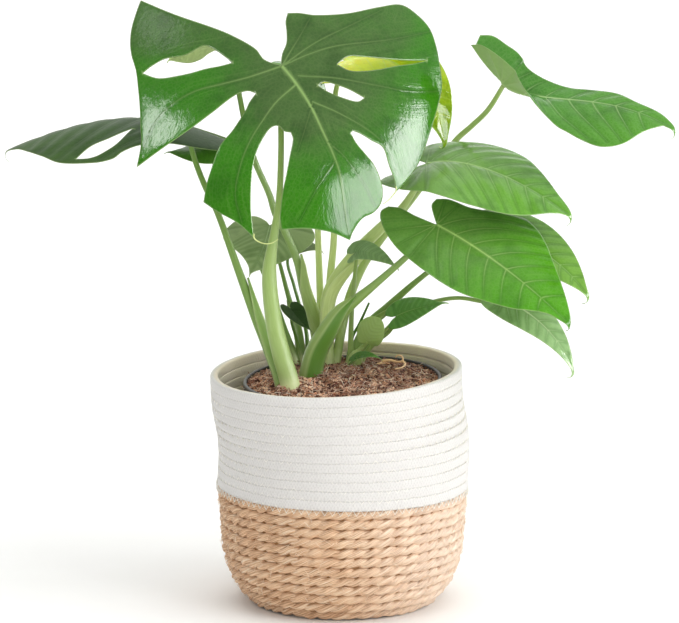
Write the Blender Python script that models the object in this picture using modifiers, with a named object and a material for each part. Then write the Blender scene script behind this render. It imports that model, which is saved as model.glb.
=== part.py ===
"""A potted swiss cheese plant: a young Monstera in a nursery pot, inside a two-tone rope basket.

Blender 4.5 script, in metres with +Z up. The origin is the centre of the basket's foot, and -Y is the front.
Leaf and stem sizes below are in millimetres, because that is how they are measured, and mm() turns them.
"""

import functools
import math
import random

import bmesh
import bpy
import numpy as np
from mathutils import Vector
from mathutils.geometry import delaunay_2d_cdt

# Basket: a coiled rope wall on a flat base, cotton above and seagrass below, in millimetres.
BASKET_RADIUS = 126.5
BASKET_HEIGHT = 236.5
BASKET_WALL = 8.0
FOOT_RADIUS = 78.0
FOOT_EDGE = 1.5
CORNER_RADIUS = 123.5
CORNER_HEIGHT = 74.0
SEAM_HEIGHT = 116.5
COTTON_ROWS = 12
SEAGRASS_ROWS = 12
ROW_BULGE = 1.6
RIM_ROUND = 2.0
RIM_RISE_RIGHT = 0.044
RIM_RISE_BACK = 0.055
# How far the soft upper wall stands to the right of the basket's middle, at each height.
WALL_LEAN = ((116.5, 0.0), (150.0, 1.5), (172.0, 0.5), (200.0, -4.5), (216.0, -6.0), (236.5, -6.5))
INNER_HEIGHTS = (70.0, 44.0, 26.0, 14.0)
BASKET_SIDES = 44

# Nursery pot of thin black plastic, and the coir soil that fills it.
POT_RIM_RADIUS = 100.0
POT_TOP_RADIUS = 97.5
POT_FOOT_RADIUS = 80.0
POT_WALL = 1.4
POT_RIM_HEIGHT = 227.0
POT_RIM_DEPTH = 7.0
POT_RIM_SLOPE = 1.0
POT_RIM_DROP = 6.0
POT_SIDES = 40
SOIL_EDGE_HEIGHT = 221.0
SOIL_MOUND = 7.0
SOIL_ROUGHNESS = 1.6
SOIL_RINGS = 7
SOIL_SIDES = 30
SOIL_CLEAR = 0.8
SOIL_FOOT_CLEAR = 0.9
HEAP_CENTRE = (-50.0, -46.0)
HEAP_HEIGHT = 8.0
HEAP_REACH = 26.0

# Fits.
GAP = 0.3
BLADE_THICKNESS = 0.8
STEM_SIDES_RESOLUTION = 2
STEM_DEPTH = 24.0
STEM_STEP = 22.0
HOLE_GAP = 0.5
HOLE_POINTS = 4
BLADE_SEAT = (3.0, 0.0)
STEM_TIP_TAPER = 0.85
STEM_TIP_MARGIN = 0.1

# The lattice of points inside a blade: its widest and finest step, the steps along a small blade, how far its rows
# stand apart as a share of a step, and how far its points keep from an edge and from the midrib.
GRID_STEP = 22.0
GRID_FINEST = 6.0
GRID_COUNT = 5
ROW_SHARE = 0.87
EDGE_SHARE = 0.4
RIB_EDGE = 2.0

# The large front leaf, measured as it faces the front: right and up from its stem's end.
MAIN_ATTACH = (-59, -50, 544)
MAIN_OUTLINE = (
    (-1, 1), (0, 11), (4, 21), (4, 33), (3, 41), (5, 49), (17, 49), (32, 47), (64, 48), (96, 53),
    (118, 54), (136, 42), (147, 29), (153, 12), (156, -5), (158, -25), (154, -42), (145, -69), (134, -95),
    (121, -112), (111, -121), (109, -109), (104, -95), (98, -78), (87, -71), (76, -64), (69, -61), (67, -63),
    (72, -72), (81, -83), (89, -93), (95, -106), (98, -119), (96, -131), (89, -139), (78, -144), (69, -156),
    (66, -164), (49, -156), (32, -152), (18, -151), (0, -152), (-1, -139), (1, -119), (5, -99), (8, -83),
    (11, -67), (9, -61), (3, -60), (-3, -55), (-9, -56), (-14, -61), (-22, -75), (-26, -87), (-28, -99),
    (-29, -131), (-26, -160), (-42, -146), (-61, -136), (-75, -127), (-72, -110), (-68, -97), (-60, -75),
    (-47, -59), (-35, -41), (-31, -33), (-25, -25), (-33, -23), (-45, -27), (-68, -44), (-87, -58),
    (-117, -79), (-141, -97), (-137, -74), (-138, -58), (-139, -41), (-141, -25), (-144, -7), (-149, 7),
    (-151, 19), (-150, 33), (-145, 51), (-142, 59), (-108, 47), (-68, 35), (-49, 28), (-26, 16), (-17, 6),
)
MAIN_HOLES = (
    ((54, 1), (62, 7), (70, 8), (96, 5), (118, 2), (143, 0), (128, -2), (111, -3), (96, -5), (81, -6), (66, -5)),
    ((35, -18), (41, -15), (53, -18), (66, -23), (80, -31), (74, -34), (62, -31), (45, -24)),
    ((-137, -9), (-128, -2), (-115, 5), (-95, 9), (-76, 18), (-65, 14), (-57, 9), (-48, 3), (-59, 0), (-74, -3),
     (-88, -7), (-101, -10), (-121, -13)),
)
# How far back the blade falls with height above its stem, and with the distance to each side.
MAIN_LEAN = 0.73
MAIN_LEAN_GROWTH = 0.00208
MAIN_ROLL_RIGHT = 0.0034
MAIN_ROLL_LEFT = 0.0017

# The other blades. Each has a midrib, as four points of a Bezier, and the way its face looks at the base and tip.
# right and left hold each half's lift in degrees at the base and tip, and its curl over half a width.
# reach is how far along the midrib the lift changes, and nest how far the stem's end sits up in the fold.
# An outline runs along the midrib and to its right. A pair of sizes stands for a plain heart.
BLADES = {
    "blade_left": dict(
        midrib=((-151, 42, 476), (-205, 35, 495), (-267, 32, 485), (-341, 22, 452)),
        faces=((-0.02, -0.20, 0.98), (-0.25, -0.16, 0.95)), width=165, right=(6, 4, -22), left=(-15, -15, -14),
        outline=((0, 3), (-20, 6), (-38, 16), (-43, 32), (-30, 48), (-6, 60), (27, 68), (56, 77), (75, 88), (87, 98),
                 (109, 99), (143, 85), (160, 60), (172, 37), (182, 15), (196, 0), (184, -14), (160, -38), (120, -58),
                 (80, -66), (40, -68), (5, -64), (-25, -54), (-42, -36), (-40, -18), (-20, -6)),
        holes=(((126, 86), (107, 69), (87, 59), (62, 40), (80, 72), (99, 87), (112, 90)),),
    ),
    "blade_upright": dict(
        midrib=((159, 24, 522), (189, 21, 494), (261, -6, 523), (329, -30, 478)),
        faces=((0.25, -0.42, 0.80), (0.05, -0.36, 0.93)), width=120, right=(34, 2, -6), left=(66, -2, -14), reach=75,
        nest=0.9,
        outline=((0, 2), (-28, 6), (-45, 12), (-48, 22), (-38, 31), (-23, 34), (-7, 36), (19, 30), (43, 26), (65, 24),
                 (85, 25), (113, 26), (135, 18), (161, 14), (175, 8), (186, 0), (172, -4), (161, -26), (149, -56),
                 (129, -69), (105, -66), (78, -53), (57, -42), (30, -36), (5, -35), (-20, -34), (-40, -26), (-48, -12),
                 (-28, -4)),
    ),
    "blade_middle": dict(
        midrib=((84, 20, 441), (120, 13, 453), (182, -4, 428), (228, -20, 391)),
        faces=((0.0, -0.33, 0.94), (0.20, -0.42, 0.88)), width=130, right=(8, 6, -25), left=(8, 6, -25),
        outline=((0, 1), (-12, 16), (-16, 32), (0, 44), (26, 50), (50, 58), (70, 60), (88, 54), (105, 40), (132, 19),
                 (151, 9), (163, 0), (153, -6), (145, -16), (127, -42), (106, -57), (74, -66), (47, -68), (14, -63),
                 (-20, -46), (-38, -30), (-50, -14), (-43, -4), (-20, -2)),
    ),
    "blade_heart": dict(
        midrib=((93, -22, 385), (128, -45, 370), (180, -96, 339), (220, -110, 298)),
        faces=((-0.05, -0.66, 0.75), (0.20, -0.72, 0.66)), width=140, right=(6, 4, -30), left=(6, 4, -30),
        outline=((0, 0), (-14, 12), (-20, 19), (-21, 28), (-11, 35), (12, 39), (34, 55), (54, 72), (73, 68), (91, 59),
                 (113, 45), (136, 31), (157, 18), (170, 9), (180, 0), (167, -5), (156, -9), (142, -20), (129, -31),
                 (104, -43), (74, -52), (35, -53), (-9, -47), (-34, -37), (-50, -26), (-57, -16), (-55, -7),
                 (-44, -2), (-25, -2)),
    ),
    "blade_behind": dict(
        midrib=((147, 6, 374), (181, -9, 369), (218, -29, 355), (247, -38, 309)),
        faces=((0.0, -0.50, 0.86), (0.45, -0.55, 0.70)), width=95, right=(8, 6, -22), left=(8, 6, -22),
        outline=(128, 92),
    ),
    "blade_hanging": dict(
        midrib=((162, -6, 307), (193, -19, 296), (222, -37, 269), (230, -44, 235)),
        faces=((0.10, -0.66, 0.74), (0.62, -0.70, 0.34)), width=50, right=(8, 6, -25), left=(8, 6, -25),
        outline=(108, 46),
    ),
    "blade_back": dict(
        midrib=((-75, 110, 367), (-79, 89, 353), (-82, 70, 342), (-95, 64, 323)),
        faces=((-0.08, -0.55, 0.83), (-0.15, -0.80, 0.58)), width=98, right=(4, 2, -24), left=(4, 2, -24),
        outline=(68, 98),
    ),
    "blade_grey": dict(
        midrib=((-57, 110, 340), (-43, 105, 347), (-32, 100, 347), (-21, 96, 342)),
        faces=((0.0, -0.42, 0.90), (0.2, -0.42, 0.88)), width=32, right=(8, 6, -20), left=(8, 6, -20),
        outline=(40, 34),
    ),
    "blade_dark": dict(
        midrib=((-53, 30, 293), (-47, 22, 287), (-41, 21, 278), (-31, 16, 272)),
        faces=((0.3, -0.60, 0.74), (0.4, -0.60, 0.70)), width=26, right=(18, 16, -10), left=(18, 16, -10),
        outline=(33, 26),
    ),
    "blade_lime": dict(
        midrib=((3, 46, 543), (40, 34, 556), (95, 22, 536), (103, 26, 455)),
        faces=((0.20, -0.40, 0.88), (0.50, -0.82, 0.20)), width=105, right=(10, 8, -24), left=(10, 8, -24),
        outline=(157, 104),
    ),
    "blade_pale": dict(
        midrib=((-120, 22, 557), (-133, 28, 560), (-152, 38, 555), (-174, 46, 543)),
        faces=((-0.35, 0.72, 0.60), (-0.20, 0.84, 0.50)), width=38, right=(12, 10, -20), left=(12, 10, -20),
        outline=((0, 0), (-5, 3), (-6, 7), (0, 10), (14, 12), (32, 12), (48, 8), (57, 3), (62, 0), (57, -8),
                 (47, -16), (34, -17), (23, -13), (10, -8), (-2, -6), (-5, -3)),
    ),
    "blade_hidden": dict(
        midrib=((-25, 64, 481), (-50, 86, 512), (-56, 120, 545), (-64, 158, 530)),
        faces=((-0.2, 0.55, 0.82), (-0.1, 0.62, 0.78)), width=92, right=(10, 8, -24), left=(10, 8, -24),
        outline=(118, 92),
    ),
    "blade_under": dict(
        midrib=((-135, 84, 453), (-148, 64, 447), (-156, 58, 445), (-178, 50, 450)),
        faces=((-0.2, -0.36, 0.91), (-0.1, -0.30, 0.95)), width=56, right=(-6, -4, -30), left=(4, 4, -20),
        outline=(56, 58),
    ),
    "blade_dusk": dict(
        midrib=((12, 25, 350), (20, 17, 357), (38, 8, 350), (56, 0, 338)),
        faces=((-0.25, -0.76, 0.60), (0.2, -0.66, 0.72)), width=26, right=(16, 14, -10), left=(16, 14, -10),
        outline=(53, 24),
    ),
    "blade_curl": dict(
        midrib=((54, 22, 286), (68, 14, 295), (88, 6, 300), (104, -2, 304)),
        faces=((-0.2, -0.84, 0.50), (0.1, -0.84, 0.54)), width=30, right=(12, 8, -12), left=(12, 6, -16),
        outline=(57, 30),
    ),
    "blade_disc": dict(
        midrib=((25, 24, 258), (25, 17, 268), (34, 13, 279), (39, 11, 287)),
        faces=((-0.2, -0.90, 0.38), (-0.2, -0.94, 0.28)), width=29, right=(10, 8, -16), left=(10, 8, -16),
        outline=((0, 0), (-2, 6), (2, 11), (9, 14), (17, 15), (25, 12), (31, 7), (34, 0), (31, -7), (25, -12),
                 (17, -15), (9, -14), (2, -11), (-2, -6)),
    ),
    "blade_soil": dict(
        midrib=((11, 19, 242), (19, 14, 249), (30, 13, 249), (40, 10, 244)),
        faces=((-0.1, -0.50, 0.86), (0.2, -0.50, 0.84)), width=14, right=(20, 18, -10), left=(20, 18, -10),
        outline=(31, 13),
    ),
}

# The leaf stems of each crown, from the soil up toward the blade that each carries: x, y, z and radius.
CROWNS = {
    "stems_front": {
        "blade_main": ((-52, -50, 228, 10.0), (-61, -52, 262, 9.4), (-68, -54, 295, 8.4), (-72, -56, 341, 7.2),
                       (-67, -58, 380, 4.4), (-62, -58, 414, 3.4), (-60, -54, 463, 3.0), (-60, -48, 502, 2.9)),
        "blade_left": ((-61, -39, 226, 6.6), (-74, -28, 262, 6.2), (-86, -16, 290, 5.6), (-104, 2, 335, 4.2),
                       (-125, 22, 390, 3.4), (-139, 34, 418, 3.2), (-148, 41, 440, 3.0), (-153, 43, 458, 2.8)),
    },
    "stems_centre": {
        "blade_heart": ((-32, 0, 230, 10.4), (-25, -2, 256, 9.8), (-10, -8, 282, 8.2), (2, -10, 298, 6.6),
                        (32, -14, 324, 4.0), (63, -18, 352, 3.2), (82, -20, 371, 2.8)),
    },
    "stems_back": {
        "blade_middle": ((-15, 50, 230, 7.0), (-17, 50, 270, 7.0), (-13, 50, 307, 7.4), (12, 46, 345, 7.0),
                         (43, 40, 378, 5.6), (57, 36, 391, 4.4), (70, 30, 410, 3.4)),
        "blade_upright": ((-7, 55, 230, 5.0), (4, 66, 288, 5.0), (20, 70, 329, 4.6), (44, 68, 365, 4.2),
                          (73, 74, 402, 3.8), (115, 72, 459, 3.2), (130, 64, 474, 3.0), (146, 48, 492, 2.8)),
        "blade_pale": ((-22, 58, 230, 5.4), (-27, 62, 270, 6.4), (-39, 60, 307, 5.4), (-46, 56, 337, 4.4),
                       (-58, 52, 367, 4.0), (-68, 48, 387, 3.8), (-74, 45, 407, 3.4), (-90, 36, 447, 3.2),
                       (-103, 27, 508, 2.8), (-106, 25, 538, 2.6)),
        "blade_lime": ((-15, 62, 230, 5.0), (-12, 70, 277, 4.6), (-13, 71, 311, 4.2), (-9, 68, 358, 3.6),
                       (-8, 62, 420, 3.2), (-8, 56, 481, 2.9), (-6, 51, 515, 2.7)),
        "blade_hidden": ((-21, 67, 230, 4.6), (-22, 78, 268, 4.2), (-23, 80, 297, 4.0), (-25, 78, 357, 3.4),
                         (-26, 72, 419, 3.0)),
    },
    "stems_right": {
        "blade_behind": ((10, 58, 230, 5.0), (22, 60, 266, 4.8), (45, 54, 290, 4.2), (86, 40, 328, 2.8),
                         (120, 22, 352, 2.6)),
        "blade_hanging": ((13, 52, 230, 4.0), (31, 47, 254, 3.4), (47, 42, 268, 3.0), (56, 36, 282, 2.6),
                          (88, 20, 300, 2.3), (116, 8, 307, 2.1), (147, -3, 304, 2.0)),
        "blade_dusk": ((8, 47, 230, 3.5), (9, 42, 281, 2.6), (12, 37, 322, 2.2)),
        "blade_curl": ((17, 46, 230, 3.4), (31, 36, 256, 2.6), (44, 32, 271, 1.8)),
        "blade_disc": ((12, 40, 230, 6.0), (14, 37, 243, 5.2), (20, 33, 252, 2.6)),
        "blade_soil": ((8, 36, 228, 3.0), (8, 29, 236, 2.2)),
        "spike": ((5, 54, 230, 2.4), (10, 54, 259, 1.7), (17, 52, 273, 1.5), (27, 46, 296, 1.1)),
    },
    "stems_left": {
        "blade_back": ((-42, 72, 230, 4.5), (-45, 82, 261, 4.0), (-55, 100, 291, 2.8), (-66, 116, 330, 2.0),
                       (-72, 117, 352, 1.9)),
        "blade_grey": ((-36, 72, 230, 2.8), (-37, 88, 256, 2.3), (-42, 99, 276, 2.0), (-51, 108, 307, 1.8),
                       (-57, 112, 328, 1.7)),
        "blade_dark": ((-41, 67, 230, 2.4), (-47, 62, 256, 1.8), (-52, 48, 276, 1.5)),
        "blade_under": ((-47, 69, 230, 3.2), (-60, 80, 265, 3.0), (-74, 104, 300, 2.8), (-93, 130, 340, 2.6),
                        (-113, 130, 393, 2.4), (-131, 104, 430, 2.2)),
    },
}

COLOURS = {
    "basket_cotton": ("e9e5dd", 0.9),
    "basket_seagrass": ("b58d5c", 0.85),
    "nursery_pot": ("2b2b2b", 0.45),
    "soil": ("5f3a28", 0.95),
    "stems": ("7da24a", 0.45),
    "blade": ("3a7a26", 0.32),
    "blade_lime": ("9cbf2c", 0.4),
    "blade_disc": ("8fb048", 0.42),
}


def mm(*values):
    """Millimetres turned to metres, as a vector."""
    return Vector(values) * 0.001


def linear(hex_colour):
    """A screen colour in the linear values that a shader takes."""
    channels = [int(hex_colour[i:i + 2], 16) / 255 for i in (0, 2, 4)]
    return [c / 12.92 if c <= 0.04045 else ((c + 0.055) / 1.055) ** 2.4 for c in channels] + [1.0]


def clear_scene():
    for obj in list(bpy.data.objects):
        bpy.data.objects.remove(obj, do_unlink=True)


def new_collection(name):
    collection = bpy.data.collections.new(name)
    bpy.context.scene.collection.children.link(collection)
    return collection


def coloured(obj, key):
    """Gives the object its own material, from the colour named in COLOURS."""
    hex_colour, roughness = COLOURS[key]
    material = bpy.data.materials.new(obj.name)
    material.use_nodes = True
    shader = material.node_tree.nodes["Principled BSDF"]
    shader.inputs["Base Color"].default_value = linear(hex_colour)
    shader.inputs["Roughness"].default_value = roughness
    shader.inputs["Metallic"].default_value = 0.0
    obj.data.materials.clear()
    obj.data.materials.append(material)
    return obj


def mesh_object(name, points, faces, collection):
    mesh = bpy.data.meshes.new(name)
    mesh.from_pydata([tuple(p) for p in points], [], faces)
    mesh.update()
    obj = bpy.data.objects.new(name, mesh)
    collection.objects.link(obj)
    return obj


def turned(name, profile, sides, collection):
    """A solid of revolution from a closed profile of (radius, height) in millimetres."""
    obj = mesh_object(name, [mm(r, 0, z) for r, z in profile], [], collection)
    edges = bmesh.new()
    edges.from_mesh(obj.data)
    edges.verts.ensure_lookup_table()
    for a, b in zip(edges.verts, edges.verts[1:]):
        edges.edges.new((a, b))
    if profile[0][0] > 0:
        edges.edges.new((edges.verts[-1], edges.verts[0]))
    edges.to_mesh(obj.data)
    edges.free()
    screw = obj.modifiers.new("turn", "SCREW")
    screw.steps = screw.render_steps = sides
    screw.use_merge_vertices = True
    screw.merge_threshold = 0.0001
    return realised(obj)


def realised(obj):
    """Replaces the object's mesh with its evaluated one, faces out, and drops the modifiers."""
    mesh = bpy.data.meshes.new_from_object(obj.evaluated_get(bpy.context.evaluated_depsgraph_get()))
    obj.modifiers.clear()
    work = bmesh.new()
    work.from_mesh(mesh)
    bmesh.ops.remove_doubles(work, verts=work.verts, dist=1e-6)
    bmesh.ops.recalc_face_normals(work, faces=work.faces)
    work.to_mesh(mesh)
    work.free()
    obj.data = mesh
    return obj


def rows(bottom, top, count, radius_at):
    """The bulging outer line of coiled rope from bottom to top, as (radius, height) pairs: a dip and a crest a row."""
    pitch = (top - bottom) / count
    points = []
    for row in range(count):
        z = bottom + row * pitch
        points.append((radius_at(z) - ROW_BULGE, z))
        points.append((radius_at(z + pitch / 2), z + pitch / 2))
    points.append((radius_at(top) - ROW_BULGE, top))
    return points


def basket_radius(z):
    """The outer radius at a height: a rounded corner above the flat foot, then a wall that widens a little."""
    if z >= CORNER_HEIGHT:
        share = min(1.0, (z - CORNER_HEIGHT) / (SEAM_HEIGHT - CORNER_HEIGHT))
        return CORNER_RADIUS + (BASKET_RADIUS - CORNER_RADIUS) * share
    drop = 1 - z / CORNER_HEIGHT
    return FOOT_RADIUS + (CORNER_RADIUS - FOOT_RADIUS) * math.sqrt(max(0.0, 1 - drop * drop))


def tilt_rim(obj, right, back, low, high):
    """Raises the object's top toward the right and back, from a height low that stays level up to the rim at high."""
    for vertex in obj.data.vertices:
        share = min(1.0, max(0.0, (vertex.co.z * 1000 - low) / (high - low)))
        vertex.co.z += share * (right * vertex.co.x + back * vertex.co.y)


def lean_wall(obj):
    """Moves each level of the soft upper wall sideways by its lean."""
    heights, shifts = zip(*WALL_LEAN)
    for vertex in obj.data.vertices:
        vertex.co.x += np.interp(vertex.co.z * 1000, heights, shifts) * 0.001


def build_basket(collection):
    inner = BASKET_RADIUS - BASKET_WALL
    cotton = rows(SEAM_HEIGHT + GAP, BASKET_HEIGHT - RIM_ROUND, COTTON_ROWS, basket_radius)
    cotton += [(BASKET_RADIUS - BASKET_WALL / 2, BASKET_HEIGHT), (inner, BASKET_HEIGHT - RIM_ROUND)]
    cotton += [(inner, height) for height, _ in WALL_LEAN[-2:0:-1]] + [(inner, SEAM_HEIGHT + GAP)]
    upper = turned("basket_cotton", cotton[::-1], BASKET_SIDES, collection)
    lean_wall(upper)
    tilt_rim(upper, RIM_RISE_RIGHT, RIM_RISE_BACK, SEAM_HEIGHT, BASKET_HEIGHT)
    seagrass = [(0, 0), (FOOT_RADIUS, 0)] + rows(FOOT_EDGE, SEAM_HEIGHT, SEAGRASS_ROWS, basket_radius)
    seagrass += [(inner, SEAM_HEIGHT)]
    for z in INNER_HEIGHTS:
        seagrass.append((basket_radius(z - BASKET_WALL / 2) - BASKET_WALL, z))
    seagrass += [(POT_FOOT_RADIUS, BASKET_WALL), (0, BASKET_WALL)]
    lower = turned("basket_seagrass", seagrass[::-1], BASKET_SIDES, collection)
    coloured(upper, "basket_cotton")
    coloured(lower, "basket_seagrass")


def tilt_pot(obj):
    tilt_rim(obj, POT_RIM_DROP / 2 / POT_RIM_RADIUS, POT_RIM_DROP / POT_RIM_RADIUS, 0.0, POT_RIM_HEIGHT)


def build_pot(collection):
    foot = BASKET_WALL + GAP
    under_rim = POT_RIM_HEIGHT - POT_RIM_DEPTH
    profile = [
        (0, foot), (POT_FOOT_RADIUS, foot), (POT_TOP_RADIUS, under_rim - POT_RIM_SLOPE), (POT_RIM_RADIUS, under_rim),
        (POT_RIM_RADIUS, POT_RIM_HEIGHT), (POT_TOP_RADIUS - POT_WALL, POT_RIM_HEIGHT),
        (POT_TOP_RADIUS - POT_WALL, under_rim - POT_RIM_SLOPE), (POT_FOOT_RADIUS - POT_WALL, foot + POT_WALL),
        (0, foot + POT_WALL),
    ]
    pot = turned("nursery_pot", profile[::-1], POT_SIDES, collection)
    tilt_pot(pot)
    coloured(pot, "nursery_pot")


def soil_height(x, y):
    """The soil's surface in millimetres, before its roughness."""
    reach = min(1.0, math.hypot(x, y) / POT_TOP_RADIUS)
    heap = math.hypot(x - HEAP_CENTRE[0], y - HEAP_CENTRE[1]) / HEAP_REACH
    return SOIL_EDGE_HEIGHT + SOIL_MOUND * (1 - reach ** 2) + HEAP_HEIGHT * math.exp(-heap ** 2) * (1 - reach ** 8)


def soil_points(draw):
    """The soil's surface as rings of points, roughened, with the last ring smooth against the pot."""
    edge = POT_TOP_RADIUS - POT_WALL - SOIL_CLEAR
    points = [mm(0, 0, soil_height(0, 0))]
    for ring in range(1, SOIL_RINGS + 1):
        radius = edge * ring / SOIL_RINGS
        for side in range(SOIL_SIDES):
            angle = 2 * math.pi * (side + 0.5 * (ring % 2)) / SOIL_SIDES
            x, y = radius * math.cos(angle), radius * math.sin(angle)
            rough = draw.uniform(-SOIL_ROUGHNESS, SOIL_ROUGHNESS) if ring < SOIL_RINGS else 0.0
            points.append(mm(x, y, soil_height(x, y) + rough))
    return points


def build_soil(collection):
    """Coir soil that fills the pot, from its floor to the rough mound on top."""
    points = soil_points(random.Random(7))
    foot = BASKET_WALL + POT_WALL + 2 * GAP
    radius = POT_FOOT_RADIUS - POT_WALL - SOIL_FOOT_CLEAR
    first_foot = len(points)
    twist = 0.5 * (SOIL_RINGS % 2)
    for side in range(SOIL_SIDES):
        angle = 2 * math.pi * (side + twist) / SOIL_SIDES
        points.append(mm(radius * math.cos(angle), radius * math.sin(angle), foot))
    points.append(mm(0, 0, foot))
    faces = []
    for side in range(SOIL_SIDES):
        after = (side + 1) % SOIL_SIDES
        faces.append((0, 1 + side, 1 + after))
        for ring in range(1, SOIL_RINGS):
            a, b = 1 + (ring - 1) * SOIL_SIDES, 1 + ring * SOIL_SIDES
            faces += ring_faces(a, b, side, after, ring % 2)
        last = 1 + (SOIL_RINGS - 1) * SOIL_SIDES
        faces.append((last + side, first_foot + side, first_foot + after, last + after))
        faces.append((len(points) - 1, first_foot + after, first_foot + side))
    soil = mesh_object("soil", points, faces, collection)
    tilt_pot(soil)
    return coloured(realised(soil), "soil")


def ring_faces(a, b, side, after, odd):
    """The two triangles between a ring that starts at a and the next at b, which is half a side round."""
    if odd:
        return [(a + side, b + after, a + after), (a + side, b + side, b + after)]
    return [(a + side, b + side, a + after), (b + side, b + after, a + after)]


def smooth_line(points, step):
    """A smooth open line through the points, sampled about every step. Its numbers may include a radius."""
    points = [np.array(p, float) for p in points]
    line = []
    for i in range(len(points) - 1):
        p1, p2 = points[i], points[i + 1]
        gap = np.linalg.norm((p2 - p1)[:3])
        before = points[i - 1] if i else p1
        after = points[i + 2] if i + 2 < len(points) else p2
        m1 = (p2 - before) * gap / np.linalg.norm((p2 - before)[:3])
        m2 = (after - p1) * gap / np.linalg.norm((after - p1)[:3])
        for k in range(max(1, round(gap / step))):
            u = k / max(1, round(gap / step))
            line.append((2 * u**3 - 3 * u**2 + 1) * p1 + (u**3 - 2 * u**2 + u) * m1
                        + (3 * u**2 - 2 * u**3) * p2 + (u**3 - u**2) * m2)
    line.append(points[-1])
    return line


def stem_path(points, surface, nest):
    """A leaf stem's points from below the soil to the underside of its blade, in millimetres with a radius."""
    x, y, z, radius = points[0]
    points = [*points, seat(surface, points[-1], nest)] if surface else points
    return [(x, y, z - STEM_DEPTH, radius)] + smooth_line(points, STEM_STEP)


def seat(surface, last, nest):
    """The stem's end, just clear of the blade's face that the stem comes to."""
    *from_point, radius = last
    radius *= STEM_TIP_TAPER
    point = surface(*BLADE_SEAT)
    along = surface(BLADE_SEAT[0] + 1, BLADE_SEAT[1]) - point
    across = surface(BLADE_SEAT[0], BLADE_SEAT[1] + 1) - surface(BLADE_SEAT[0], BLADE_SEAT[1] - 1)
    face = along.cross(across).normalized()
    way = (mm(*from_point) - point).normalized()
    if face.dot(way) < 0:
        face.negate()
    lean = math.sqrt(max(0.0, 1 - face.dot(way) ** 2))
    clear = BLADE_THICKNESS / 2 + GAP + STEM_TIP_MARGIN + radius * lean - nest
    return (*(point * 1000 + face * clear), radius)


def tube(name, path, extra, collection):
    """A round tube along the path, capped at both ends. extra widens it and lengthens its foot."""
    curve = bpy.data.curves.new(name, "CURVE")
    curve.dimensions = "3D"
    curve.bevel_depth = 0.001
    curve.bevel_resolution = STEM_SIDES_RESOLUTION
    curve.use_fill_caps = True
    spline = curve.splines.new("POLY")
    spline.points.add(len(path) - 1)
    for index, (point, (x, y, z, radius)) in enumerate(zip(spline.points, path)):
        point.co = (*mm(x, y, z - (extra if index == 0 else 0)), 1)
        point.radius = radius + extra
    obj = bpy.data.objects.new(name, curve)
    collection.objects.link(obj)
    mesh = bpy.data.meshes.new_from_object(obj.evaluated_get(bpy.context.evaluated_depsgraph_get()))
    bpy.data.objects.remove(obj, do_unlink=True)
    solid = bpy.data.objects.new(name, mesh)
    collection.objects.link(solid)
    return realised(solid)


def boolean(obj, other, operation):
    """Adds the Boolean, with the other object as its operand."""
    modifier = obj.modifiers.new(other.name, "BOOLEAN")
    modifier.object = other
    modifier.operation = operation
    modifier.solver = "MANIFOLD"


def build_stems(collection, cutters, soil, surfaces):
    """Each crown's leaf stems, fused in one solid, and the plain holes in the soil that they stand in."""
    for crown, stems in CROWNS.items():
        paths = {}
        for leaf, points in stems.items():
            nest = BLADES.get(leaf, {}).get("nest", 0.0)
            paths[leaf] = stem_path(points, surfaces.get(leaf), nest)
        solids = [tube(crown + "_" + leaf, path, 0.0, cutters) for leaf, path in paths.items()]
        first = solids[0].copy()
        first.name = crown
        collection.objects.link(first)
        for other in solids[1:]:
            boolean(first, other, "UNION")
        coloured(realised(first), "stems")
        for leaf, path in paths.items():
            boolean(soil, tube("hole_" + leaf, path[:HOLE_POINTS], HOLE_GAP, cutters), "DIFFERENCE")
    realised(soil)


def heart(length, width):
    """The outline of a small uncut blade, along its midrib and to its right."""
    half = width / 2
    right = [
        (-0.10 * length, 0.12 * half), (-0.20 * length, 0.38 * half), (-0.17 * length, 0.68 * half),
        (-0.04 * length, 0.90 * half), (0.14 * length, half), (0.36 * length, 0.90 * half),
        (0.60 * length, 0.62 * half), (0.80 * length, 0.30 * half), (0.92 * length, 0.10 * half),
    ]
    return [(0, 0)] + right + [(length, 0)] + [(s, -t) for s, t in reversed(right)]


def inside(loop, point):
    """Whether the flat point lies in the closed loop."""
    hit = False
    for (x0, y0), (x1, y1) in zip(loop, loop[1:] + loop[:1]):
        if (y0 > point[1]) != (y1 > point[1]) and point[0] < (x1 - x0) * (point[1] - y0) / (y1 - y0) + x0:
            hit = not hit
    return hit


def distance_to(loop, point):
    """How far the flat point is from the nearest side of the closed loop."""
    p = Vector(point)
    best = math.inf
    for a, b in zip(loop, loop[1:] + loop[:1]):
        a, b = Vector(a), Vector(b)
        share = min(1.0, max(0.0, (p - a).dot(b - a) / (b - a).length_squared))
        best = min(best, (p - a - (b - a) * share).length)
    return best


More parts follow.
